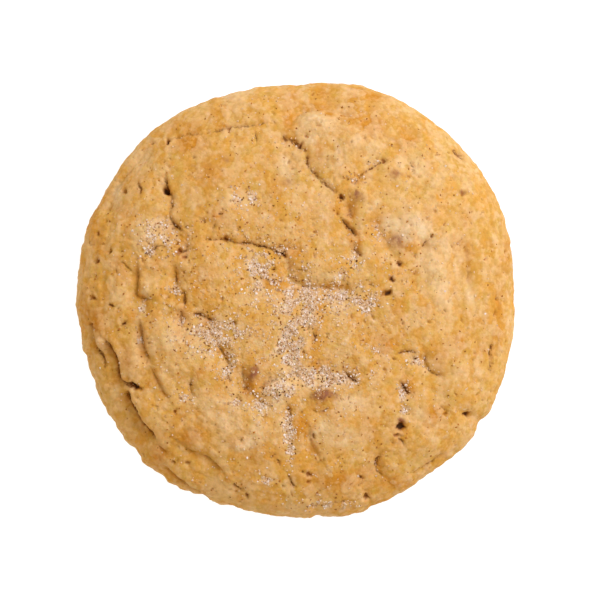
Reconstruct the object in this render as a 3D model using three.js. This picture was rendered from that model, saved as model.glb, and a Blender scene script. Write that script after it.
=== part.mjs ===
// A round, craggy baked cookie: one solid with a crowned and cracked top, a rounded rim
// that bulges over its foot, and a flat base. Millimetres, +Z up, the base on z = 0.
import * as THREE from 'three';

// Driving dimensions
const DIAMETER = 80;
const HEIGHT = 14;
const RIM_HEIGHT = 2.6; // height at which the rim is widest
const FOOT_INSET = 1.7; // how far the flat base stays inside the rim
const CROWN_SPREAD = 2.9; // how far out the crown stays nearly level
const SHOULDER_ROUNDNESS = 2.0; // how roundly the crown turns down into the rim

// How finely the surface is divided
const MESH_STEP = 1.2; // size of the top's triangles
const UNDERCUT_RINGS = 3; // from the rim down to the foot
const BASE_RINGS = [{ share: 0.62, stride: 4 }, { share: 0.26, stride: 8 }]; // within the foot's ring
const PROFILE_SAMPLES = 4000; // for measuring along the crown's slope
const FEWEST_POINTS = 6; // round the smallest ring

// Slow waves of the outline: how many lobes, how far they swing, and where the first one peaks
const OUTLINE_WAVES = [
  { lobes: 1, swing: 0.41, peak: 25 },
  { lobes: 2, swing: 0.18, peak: 20 },
  { lobes: 3, swing: 0.26, peak: 47 },
  { lobes: 4, swing: 0.41, peak: -41 },
  { lobes: 7, swing: 0.25, peak: 24 },
];

// Nicks (positive) and bulges (negative) of the outline, by direction and width in degrees
const OUTLINE_NICKS = [
  { at: 36, deep: 0.2, wide: 16 },
  { at: 73, deep: -0.25, wide: 5 },
  { at: 89, deep: 0.5, wide: 5 },
  { at: 159, deep: -0.3, wide: 4 },
  { at: 174, deep: 0.3, wide: 5 },
  { at: 193, deep: -0.45, wide: 4 },
  { at: 209, deep: -0.9, wide: 5 },
  { at: 219, deep: -0.6, wide: 5 },
  { at: 238, deep: -0.9, wide: 6 },
  { at: 276, deep: 0.4, wide: 2 },
  { at: 285, deep: -0.3, wide: 9 },
  { at: 319, deep: -0.3, wide: 3 },
  { at: 326, deep: 0.7, wide: 2 },
  { at: 350, deep: -0.3, wide: 6 },
];

// Cracks of the top, each along a few points. The crust sags into a crack from both sides, but at a step
// the plate on the left of the path stays high right up to it.
const CRACKS = [
  { name: 'north hook', width: 0.8, depth: 0.6, sag: 0.8,
    path: [[-2.3, 30.3], [-2, 29.3], [-0.6, 28.9], [1.6, 27.3], [2.1, 26.4]] },
  { name: 'north-east run', width: 0.6, depth: 0.45, sag: 1,
    path: [[1.9, 26.8], [2.9, 23.4], [5.2, 21.1], [7.8, 19]] },
  { name: 'north plate edge', width: 0.8, depth: 0.1, sag: 1.3,
    path: [[10.5, 33], [7.7, 34.4], [4.5, 35], [1.5, 34.6], [-0.2, 33], [-1.2, 31.2]] },
  { name: 'north-east cross', width: 0.9, depth: 0.8, sag: 1,
    path: [[7.6, 19.5], [8.4, 18.6], [9.2, 17.7]] },
  { name: 'north-east fold', width: 0.8, depth: 0.25, sag: 1.2,
    path: [[9.2, 17.7], [9.8, 16], [10.6, 13.8]] },
  { name: 'north-east gash', width: 0.6, depth: 0.8, sag: 1.3,
    path: [[7.6, 15.2], [9.6, 13.2], [10.5, 12.4], [11.2, 11]] },
  { name: 'east tail', width: 0.5, depth: 0.6, sag: 1,
    path: [[10.4, 10.6], [10.8, 9.4], [12.6, 7.6]] },
  { name: 'east furrow', width: 0.8, depth: 0.1, sag: 1,
    path: [[14.3, 15.2], [14.8, 13.6], [16.5, 10.3], [18.2, 7.4]] },
  { name: 'west split', width: 0.5, depth: 0.65, sag: 0.8,
    path: [[-16.8, 10.7], [-12.6, 11.1], [-11.4, 10.5], [-8, 10.1], [-4, 9], [-1, 8]] },
  { name: 'north-west split', width: 0.7, depth: 0.7, sag: 0.8, step: true,
    path: [[-23.5, 23], [-23.6, 21.4], [-22.4, 18.3], [-23, 15.4]] },
  { name: 'north-west hook', width: 0.7, depth: 0.55, sag: 1.2, step: true,
    path: [[-23.1, 15.5], [-22.5, 14.4], [-21.5, 13.3], [-20.2, 12.5]] },
  { name: 'west inner split', width: 0.6, depth: 0.4, sag: 1.8,
    path: [[-22, 6.4], [-21.8, 4.5], [-21.6, 1.9]] },
  { name: 'west inner leg', width: 0.7, depth: 0.5, sag: 1.2,
    path: [[-19.7, 1.5], [-20.1, 0.2], [-20.8, -3.4], [-20.3, -5.6]] },
  { name: 'west inner end', width: 0.7, depth: 0.8, sag: 1.2,
    path: [[-18.9, -2.5], [-16.2, -3.2], [-14.8, -4.4]] },
  { name: 'west plate edge', width: 0.9, depth: 0.3, sag: 1.5, step: true,
    path: [[-28.6, 6.6], [-28.8, 2], [-28.8, 0.6], [-27.5, 0.3], [-25.6, 0.1]] },
  { name: 'south-west furrow', width: 1, depth: 0.25, sag: 1.4, step: true,
    path: [[-28.4, -3.4], [-28.1, -5.6], [-26.4, -11.7], [-24.2, -16.3], [-23, -18.3]] },
  { name: 'foot west', width: 0.8, depth: 0.5, sag: 1.3, step: true,
    path: [[-37.4, -3.6], [-37, -6.3], [-36.3, -9], [-34.7, -13.2]] },
  { name: 'foot middle', width: 0.9, depth: 0.9, sag: 1.6, step: true,
    path: [[-34.7, -7.2], [-32.6, -11.1], [-32.5, -12.8], [-30.9, -15.4], [-29.5, -15.7]] },
  { name: 'foot south', width: 1.6, depth: 1.4, sag: 2.1, step: true,
    path: [[-30.6, -16.4], [-30.8, -18], [-27.9, -22.8], [-25.3, -25.7]] },
  { name: 'foot end', width: 0.7, depth: 0.2, sag: 1.3, step: true,
    path: [[-20.6, -26.3], [-19.1, -27.7], [-16.4, -28.6], [-13, -31.6]] },
  { name: 'chip cave', width: 0.7, depth: 0.4, sag: 1.3,
    path: [[-14.4, -7.4], [-12.6, -10.7], [-11.4, -12.6]] },
  { name: 'chip fork', width: 0.8, depth: 0.35, sag: 1.8,
    path: [[-9.5, -11.6], [-9.4, -14], [-8.9, -15.8], [-7.8, -16.8]] },
  { name: 'chip arm', width: 0.6, depth: 0.35, sag: 1.3, step: true,
    path: [[-1.9, -14.3], [-3.7, -14.5], [-5.5, -15.5], [-7.4, -16.4]] },
  { name: 'centre edge', width: 0.8, depth: 0.1, sag: 1.5,
    path: [[-1.4, 8], [-1.1, 4.2], [0.3, 2.9], [2.4, 2.2], [4.4, 1.9]] },
  { name: 'centre lip', width: 1, depth: 0.2, sag: 1.2,
    path: [[3.4, 2.3], [6, 1.9], [10.5, 1.8]] },
  { name: 'south split', width: 0.5, depth: 0.7, sag: 0.7,
    path: [[-1.2, -19.4], [-1, -20.4], [-0.6, -21.6]] },
  { name: 'south valley', width: 0.8, depth: 0.1, sag: 1, step: true,
    path: [[2.4, -23], [2.7, -25], [3.2, -27], [4.4, -28.6]] },
  { name: 'south-east slit', width: 0.9, depth: 0.95, sag: 1,
    path: [[18.8, -14.9], [19.6, -15.6], [21, -17.4]] },
  { name: 'south-east bowl', width: 0.5, depth: 0.4, sag: 1.2,
    path: [[23.4, -9.6], [24, -12.2], [24.9, -13.4], [27.2, -13.6]] },
  { name: 'south bowl', width: 0.6, depth: 0.5, sag: 1.2,
    path: [[16.4, -28.3], [15, -29], [14.7, -30.3], [16.4, -32.7]] },
  { name: 'north-west crease', width: 0.5, depth: 0.3, sag: 0.4,
    path: [[-23.2, 28.9], [-20, 30], [-16, 30.3], [-12.3, 31.2], [-4.6, 32.4]] },
  { name: 'rim groove', width: 0.8, depth: 0.2, sag: 1.2,
    path: [[-35, 14.8], [-34, 18], [-29.8, 24.6], [-26.6, 28.2]] },
  { name: 'south-west arc', width: 0.6, depth: 0.35, sag: 1,
    path: [[-18.5, -13.4], [-19.2, -15.3], [-18.9, -16.9], [-18, -18]] },
  { name: 'rim seam', width: 0.7, depth: 0.6, sag: 1.3, step: true,
    path: [[-24, -30], [-22.2, -32.2], [-19.9, -34.1], [-17.3, -35.5], [-15.8, -36.2]] },
  { name: 'notch crack', width: 0.4, depth: 0.4, sag: 0.5,
    path: [[25.7, -18.9], [27.2, -20], [31.3, -21]] },
];
const SAG_RUN_LEFT = 1.5; // how far the sag reaches on the left of a crack
const SAG_RUN_RIGHT = 3.2; // and on its right
const STEP_RUN = 0.5; // how far it reaches on the left of a step
const CRACK_TAPER = 1.6; // length over which a crack closes at each end
const CURVE_SPACING = 0.5; // spacing of the points along a crack's curve
const SNAP_SHARE = 0.42; // share of a triangle within which a point moves onto a crack or a hole

// Plates of crust and the chips under the skin, which stand up, and the hollows that sugar gathers in, which
// are sunk: centre, half width, half height and rise
const MOUNDS = [
  { name: 'north plate', at: [4.4, 32.2], half: [4, 2.4], rise: 0.8 },
  { name: 'north-east plate', at: [10.8, 29], half: [2.5, 2.2], rise: 0.6 },
  { name: 'north chip', at: [17.4, 23.2], half: [2.2, 1.8], rise: 0.6 },
  { name: 'junction chip', at: [11.2, 18.9], half: [1.5, 1.6], rise: 0.5 },
  { name: 'east chip', at: [21.2, 14.1], half: [2.5, 2.9], rise: 0.8 },
  { name: 'east crown', at: [25.7, 5.1], half: [2.5, 5.4], rise: 0.7 },
  { name: 'middle plate', at: [6.3, 15.4], half: [2.5, 3.3], rise: 0.4 },
  { name: 'upper west plate', at: [-11.5, 17.2], half: [2.9, 3.6], rise: 0.6 },
  { name: 'west crown', at: [-26.9, 12.5], half: [2.9, 2.5], rise: 0.8 },
  { name: 'west hollow', at: [-20.3, 9.6], half: [1.8, 2.2], rise: -0.6 },
  { name: 'west plate', at: [-26, 2.6], half: [2, 2.6], rise: 0.5 },
  { name: 'west rim plate', at: [-32, 1.8], half: [2.2, 4], rise: 0.6 },
  { name: 'centre-west plate', at: [-14.2, 4.5], half: [4.4, 4], rise: 0.5 },
  { name: 'left crown', at: [-22.3, -6.5], half: [3.3, 4], rise: 0.7 },
  { name: 'furrow pillow', at: [-29.1, -10.5], half: [1.8, 3.6], rise: 0.6 },
  { name: 'foot pillow', at: [-34.5, -15.4], half: [1.5, 3.3], rise: 0.4 },
  { name: 'south-west rim', at: [-27.1, -20.3], half: [2.2, 2.9], rise: 0.6 },
  { name: 'south-west crown', at: [-8.2, -22.7], half: [6.2, 3.6], rise: 0.7 },
  { name: 'south-west chip', at: [-7.8, -14.1], half: [1.5, 2.2], rise: 0.6 },
  { name: 'chip neighbour', at: [-4.6, -12.9], half: [2.2, 1.2], rise: 0.6 },
  { name: 'arm plate', at: [-3.5, -16.1], half: [3, 1.9], rise: 1.3 },
  { name: 'south ridge', at: [4.9, -14.1], half: [3.3, 1.1], rise: 0.6 },
  { name: 'south chip', at: [4.7, -17.2], half: [2, 1.5], rise: 0.6 },
  { name: 'south crown', at: [9, -22.7], half: [3.6, 4], rise: 0.8 },
  { name: 'south-east rim', at: [23.5, -25.4], half: [4, 2.5], rise: 0.5 },
  { name: 'bowl plate', at: [29, -13.6], half: [2.9, 3.3], rise: 0.4 },
  { name: 'centre-east plate', at: [10.8, -9.1], half: [2.5, 1.8], rise: 0.5 },
  { name: 'upper sugar hollow', at: [-6, 4.5], half: [3.3, 4], rise: -0.4 },
  { name: 'middle sugar hollow', at: [0.9, -0.9], half: [3.6, 4.5], rise: -0.5 },
  { name: 'east sugar hollow', at: [9, 0.4], half: [4.5, 1.8], rise: -0.4 },
  { name: 'lower sugar hollow', at: [-0.6, -8.2], half: [2.5, 3.6], rise: -0.4 },
  { name: 'west sugar hollow', at: [-14.5, -5.8], half: [4.5, 2.2], rise: -0.4 },
  { name: 'south sugar hollow', at: [5.2, -14.4], half: [4.6, 1.8], rise: -0.9 },
];

// Holes that steam or a lost chip left: centre and radius
const PITS = [
  { name: 'north-west', at: [-23.6, 19.8], radius: 0.85 },
  { name: 'north-west rim', at: [-23.3, 28.7], radius: 0.65 },
  { name: 'west rim', at: [-36.2, 7], radius: 0.55 },
  { name: 'split end', at: [-2, 8.2], radius: 0.7 },
  { name: 'east upper', at: [18.8, 6.4], radius: 0.65 },
  { name: 'east middle', at: [17.4, 3.7], radius: 0.65 },
  { name: 'east lower', at: [16.8, 1.3], radius: 0.75 },
  { name: 'chip hole', at: [19.1, -23], radius: 0.9 },
  { name: 'notch', at: [31.2, -20.9], radius: 0.65 },
  { name: 'south', at: [2.3, -31.7], radius: 0.5 },
  { name: 'west foot', at: [-29.6, -15.7], radius: 1 },
];
const PIT_DEPTH_PER_RADIUS = 1.4;

// Low lumps all over, laid out as a sunflower's seeds
const LUMP_COUNT = 110;
const LUMP_RADIUS = 3.6;
const LUMP_RISE = 0.2;
const LUMP_BEAT = 12.9898; // makes one lump's height unlike the next one's
const GOLDEN_ANGLE = Math.PI * (3 - Math.sqrt(5));

const FULL_TURN = 2 * Math.PI;
const OUTER_RADIUS = DIAMETER / 2;
const RISE = HEIGHT - RIM_HEIGHT;
const RIM_FADE = 0.93; // share of the radius past which the relief weakens
const RIM_RELIEF = 0.7; // what is left of the relief at the rim itself

const radians = THREE.MathUtils.degToRad;
const hump = (distance, width) => Math.exp(-((distance / width) ** 2));

// Radius of the widest outline in a direction
function outlineRadius(angle) {
  let radius = OUTER_RADIUS;
  for (const { lobes, swing, peak } of OUTLINE_WAVES) {
    radius += swing * Math.cos(lobes * (angle - radians(peak)));
  }
  for (const { at, deep, wide } of OUTLINE_NICKS) {
    const turn = angle - radians(at);
    const offset = Math.atan2(Math.sin(turn), Math.cos(turn));
    radius -= deep * hump(offset, radians(wide));
  }
  return radius;
}

// Height of the smooth crown at a share of the radius, 0 at the middle and 1 at the rim
function crownHeight(share) {
  return RIM_HEIGHT + RISE * (1 - share ** CROWN_SPREAD) ** (1 / SHOULDER_ROUNDNESS);
}

// A crack's path as a smooth line of short straight pieces
function crackLine(crack) {
  const points = crack.path.map(([x, y]) => new THREE.Vector3(x, y, 0));
  const curve = new THREE.CatmullRomCurve3(points);
  const length = curve.getLength();
  const pieces = Math.ceil(length / CURVE_SPACING);
  return { ...crack, length, line: curve.getSpacedPoints(pieces), piece: length / pieces };
}
const CRACK_LINES = CRACKS.map(crackLine);

// The nearest point of a crack's line: its place, its distance, its side and how far along it is
function nearestOnCrack({ line, piece }, x, y) {
  let nearest = { distance: Infinity };
  for (let k = 0; k + 1 < line.length; k += 1) {
    const start = line[k];
    const across = line[k + 1].x - start.x;
    const up = line[k + 1].y - start.y;
    const along = ((x - start.x) * across + (y - start.y) * up) / (across ** 2 + up ** 2);
    const held = THREE.MathUtils.clamp(along, 0, 1);
    const footX = start.x + held * across;
    const footY = start.y + held * up;
    const distance = Math.hypot(x - footX, y - footY);
    if (distance < nearest.distance) {
      const left = across * (y - start.y) - up * (x - start.x) > 0;
      nearest = { x: footX, y: footY, distance, left, along: (k + held) * piece };
    }
  }
  return nearest;
}

// How open a crack is, from 0 at its ends to 1 along its middle
function crackOpening(crack, along) {
  const fromEnd = Math.min(along, crack.length - along);
  return THREE.MathUtils.smoothstep(fromEnd, 0, CRACK_TAPER);
}

// Depth of the cracks at a point, with the sag of the crust beside them
function crackRelief(x, y) {
  let cut = 0;
  let sag = 0;
  for (const crack of CRACK_LINES) {
    const near = nearestOnCrack(crack, x, y);
    const opening = crackOpening(crack, near.along);
    const leftRun = crack.step ? STEP_RUN : SAG_RUN_LEFT;
    const run = near.left ? leftRun : SAG_RUN_RIGHT;
    cut = Math.max(cut, opening * crack.depth * hump(near.distance, crack.width));
    sag = Math.max(sag, opening * crack.sag * Math.exp(-near.distance / run));
  }
  return -cut - sag;
}

// Height of the low lumps at a point
function lumpRelief(x, y) {
  let height = 0;
  for (let k = 0; k < LUMP_COUNT; k += 1) {
    const reach = OUTER_RADIUS * Math.sqrt((k + 0.5) / LUMP_COUNT);
    const lumpX = reach * Math.cos(k * GOLDEN_ANGLE);
    const lumpY = reach * Math.sin(k * GOLDEN_ANGLE);
    const distance = Math.hypot(x - lumpX, y - lumpY);
    height += LUMP_RISE * Math.sin(k * LUMP_BEAT) * hump(distance, LUMP_RADIUS);
  }
  return height;
}

// How far the surface stands out from the smooth crown at a point
function relief(x, y) {
  let height = lumpRelief(x, y) + crackRelief(x, y);
  for (const { at, half, rise } of MOUNDS) {
    height += rise * hump(Math.hypot((x - at[0]) / half[0], (y - at[1]) / half[1]), 1);
  }
  for (const { at, radius } of PITS) {
    const depth = PIT_DEPTH_PER_RADIUS * radius;
    height -= depth * hump(Math.hypot(x - at[0], y - at[1]), radius);
  }
  return height;
}

// Shares of the radius at which the crown's rings lie, evenly spaced along the slope
function crownShares() {
  const lengths = [0];
  for (let k = 1; k <= PROFILE_SAMPLES; k += 1) {
    const rise = crownHeight(k / PROFILE_SAMPLES) - crownHeight((k - 1) / PROFILE_SAMPLES);
    lengths.push(lengths[k - 1] + Math.hypot(OUTER_RADIUS / PROFILE_SAMPLES, rise));
  }
  const whole = lengths[PROFILE_SAMPLES];
  const rings = Math.round(whole / MESH_STEP);
  const shares = [];
  for (let ring = 1; ring < rings; ring += 1) {
    const reached = lengths.findIndex((length) => length >= (whole * ring) / rings);
    shares.push(reached / PROFILE_SAMPLES);
  }
  return [...shares, 1];
}

// The crown's outward direction at a share of the radius, as its outward and upward parts
function crownNormal(share) {
  const nudge = 0.002;
  const inner = Math.max(0, share - nudge);
  const outer = Math.min(1, share + nudge);
  const run = (outer - inner) * OUTER_RADIUS;
  const drop = crownHeight(inner) - crownHeight(outer);
  const length = Math.hypot(run, drop);
  return { outward: drop / length, upward: run / length };
}

// Moves a point of the crown onto a hole's middle or a crack that is close by
function snapToRelief(x, y) {
  const reach = SNAP_SHARE * MESH_STEP;
  for (const { at } of PITS) {
    if (Math.hypot(x - at[0], y - at[1]) < reach) {
      return at;
    }
  }
  for (const crack of CRACK_LINES) {
    const near = nearestOnCrack(crack, x, y);
    const inside = near.along > 0 && near.along < crack.length;
    if (inside && near.distance < reach) {
      return [near.x, near.y];
    }
  }
  return [x, y];
}

// A point of the baked top, from its ring's share of the radius and its direction
function crownPoint(ringShare, ringAngle) {
  const ringRadius = ringShare * outlineRadius(ringAngle);
  const start = [ringRadius * Math.cos(ringAngle), ringRadius * Math.sin(ringAngle)];
  const [x, y] = ringShare < RIM_FADE ? snapToRelief(...start) : start;
  const angle = Math.atan2(y, x);
  const share = Math.min(1, Math.hypot(x, y) / outlineRadius(angle));
  const fade = 1 - (1 - RIM_RELIEF) * THREE.MathUtils.smoothstep(share, RIM_FADE, 1);
  const height = fade * relief(x, y);
  const { outward, upward } = crownNormal(share);
  const radius = Math.hypot(x, y) + outward * height;
  return [radius * Math.cos(angle), radius * Math.sin(angle), crownHeight(share) + upward * height];
}

// The angles of a ring's points, about one step apart
function ringAngles(radius, step) {
  const count = Math.max(FEWEST_POINTS, Math.round((FULL_TURN * radius) / step));
  return Array.from({ length: count }, (_, k) => (FULL_TURN * k) / count);
}

// All rings of the skin, from the one round the middle of the top to the one round the middle
// of the base
function skinRings() {
  const rings = [];
  for (const share of crownShares()) {
    const angles = ringAngles(share * OUTER_RADIUS, MESH_STEP);
    rings.push(angles.map((angle) => crownPoint(share, angle)));
  }
  const rim = rings[rings.length - 1];
  for (let ring = 1; ring <= UNDERCUT_RINGS; ring += 1) {
    const turn = (ring / UNDERCUT_RINGS) * (Math.PI / 2);
    const inset = FOOT_INSET * (1 - Math.cos(turn));
    const level = 1 - Math.sin(turn);
    rings.push(rim.map(([x, y, z]) => {
      const shrink = 1 - inset / Math.hypot(x, y);
      return [x * shrink, y * shrink, z * level];
    }));
  }
  const foot = rings[rings.length - 1];
  for (const { share, stride } of BASE_RINGS) {
    const kept = foot.filter((_, k) => k % stride === 0);
    rings.push(kept.map(([x, y]) => [x * share, y * share, 0]));
  }
  return rings;
}

// Triangles between two neighbouring rings, whatever their counts
function bandTriangles(triangles, first, firstCount, second, secondCount) {
  let i = 0;
  let j = 0;
  while (i < firstCount || j < secondCount) {
    const a = first + (i % firstCount);
    const b = second + (j % secondCount);
    const stepFirst = (i + 1) * secondCount <= (j + 1) * firstCount;
    if (stepFirst) {
      i += 1;
      triangles.push(a, b, first + (i % firstCount));
    } else {
      j += 1;
      triangles.push(a, b, second + (j % secondCount));
    }
  }
}

// The closed skin: rings stitched in order, with one point in the middle of the top and the base
function cookieGeometry() {
  const rings = skinRings();
  const points = [[0, 0, HEIGHT + relief(0, 0)]];
  const triangles = [];
  let previous = 0;
  let previousCount = 0;
  for (const ring of rings) {
    const start = points.length;
    points.push(...ring);
    if (previousCount === 0) {
      ring.forEach((_, k) => triangles.push(0, start + k, start + ((k + 1) % ring.length)));
    } else {
      bandTriangles(triangles, previous, previousCount, start, ring.length);
    }
    previous = start;
    previousCount = ring.length;
  }
  const baseMiddle = points.length;
  points.push([0, 0, 0]);
  for (let k = 0; k < previousCount; k += 1) {
    triangles.push(previous + k, baseMiddle, previous + ((k + 1) % previousCount));
  }
  const geometry = new THREE.BufferGeometry();
  geometry.setAttribute('position', new THREE.Float32BufferAttribute(points.flat(), 3));
  geometry.setIndex(triangles);
  return geometry;
}

// Puts the middle of the geometry's box, seen from above, on the vertical axis
function centreOnAxis(geometry) {
  geometry.computeBoundingBox();
  const middle = geometry.boundingBox.getCenter(new THREE.Vector3());
  geometry.translate(-middle.x, -middle.y, -geometry.boundingBox.min.z);
  geometry.computeVertexNormals();
  return geometry;
}

const bakedDough = new THREE.MeshStandardMaterial({ color: 0xd9a462, roughness: 0.85, metalness: 0 });

const cookie = new THREE.Mesh(centreOnAxis(cookieGeometry()), bakedDough);
cookie.name = 'cookie';

const snickerdoodle = new THREE.Group();
snickerdoodle.add(cookie);

export default snickerdoodle;
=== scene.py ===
"""A soft baked cookie with sugar, spice and chips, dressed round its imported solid."""
import itertools
import math

import bpy
import numpy as np
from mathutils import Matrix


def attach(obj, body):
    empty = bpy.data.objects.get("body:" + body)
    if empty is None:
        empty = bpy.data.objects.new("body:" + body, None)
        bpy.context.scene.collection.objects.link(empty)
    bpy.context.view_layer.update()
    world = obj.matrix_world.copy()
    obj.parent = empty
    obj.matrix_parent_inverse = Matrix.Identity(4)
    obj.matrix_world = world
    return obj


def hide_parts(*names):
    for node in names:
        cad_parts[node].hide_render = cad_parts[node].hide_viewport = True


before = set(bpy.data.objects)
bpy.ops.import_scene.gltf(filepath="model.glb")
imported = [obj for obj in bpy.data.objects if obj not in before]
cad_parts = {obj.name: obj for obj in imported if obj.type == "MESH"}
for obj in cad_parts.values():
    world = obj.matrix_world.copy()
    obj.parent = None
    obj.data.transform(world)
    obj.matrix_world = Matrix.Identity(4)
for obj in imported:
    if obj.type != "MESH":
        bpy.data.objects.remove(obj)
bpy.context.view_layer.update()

MM = 0.001  # in metres
FULL_TURN = 2 * math.pi
TINY = 1e-6  # keeps divisions by zero away

# Driving sizes of the cookie, in millimetres, as in the solid
DIAMETER = 80
HEIGHT = 14
RIM_HEIGHT = 2.6  # height at which the rim is widest
FOOT_INSET = 1.7  # how far the flat base stays inside the rim
CROWN_SPREAD = 2.9  # how far out the crown stays nearly level
SHOULDER_ROUNDNESS = 2.0  # how roundly the crown turns down into the rim
OUTER_RADIUS = DIAMETER / 2
RISE = HEIGHT - RIM_HEIGHT

# How finely the skin is divided
FINE_STEP = 0.275
BASE_STEP_GROWTH = 1.25  # from one ring of the base to the next, inward from the foot
BASE_LARGEST_STEP = 1.3
FEWEST_POINTS = 6  # round the smallest ring
PROFILE_SAMPLES = 20000  # for measuring along the profile
OUTLINE_SAMPLES = 2000  # for measuring the outline's box

# Slow waves of the outline: lobes, swing in millimetres, direction of the first peak in degrees
OUTLINE_WAVES = [(1, 0.41, 25), (2, 0.18, 20), (3, 0.26, 47), (4, 0.41, -41), (7, 0.25, 24)]

# Nicks (positive) and bulges (negative) of the outline: direction, depth, width in degrees
OUTLINE_NICKS = [
    (89, 0.5, 5), (73, -0.25, 5), (159, -0.3, 4), (174, 0.3, 5), (193, -0.45, 4), (209, -0.9, 5),
    (219, -0.6, 5), (238, -0.9, 6), (285, -0.3, 9), (350, -0.3, 6), (36, 0.2, 16), (276, 0.4, 2),
    (319, -0.3, 3), (326, 0.7, 2),
]
RAGGED_EDGE = [(2.6, 0.18), (1.1, 0.12)]  # size of the ragged edge's bits and how far they stand out
RAGGED_SIDE = (222, 40, 1.6)  # where the edge is most ragged: direction, width in degrees, how much more

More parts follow.
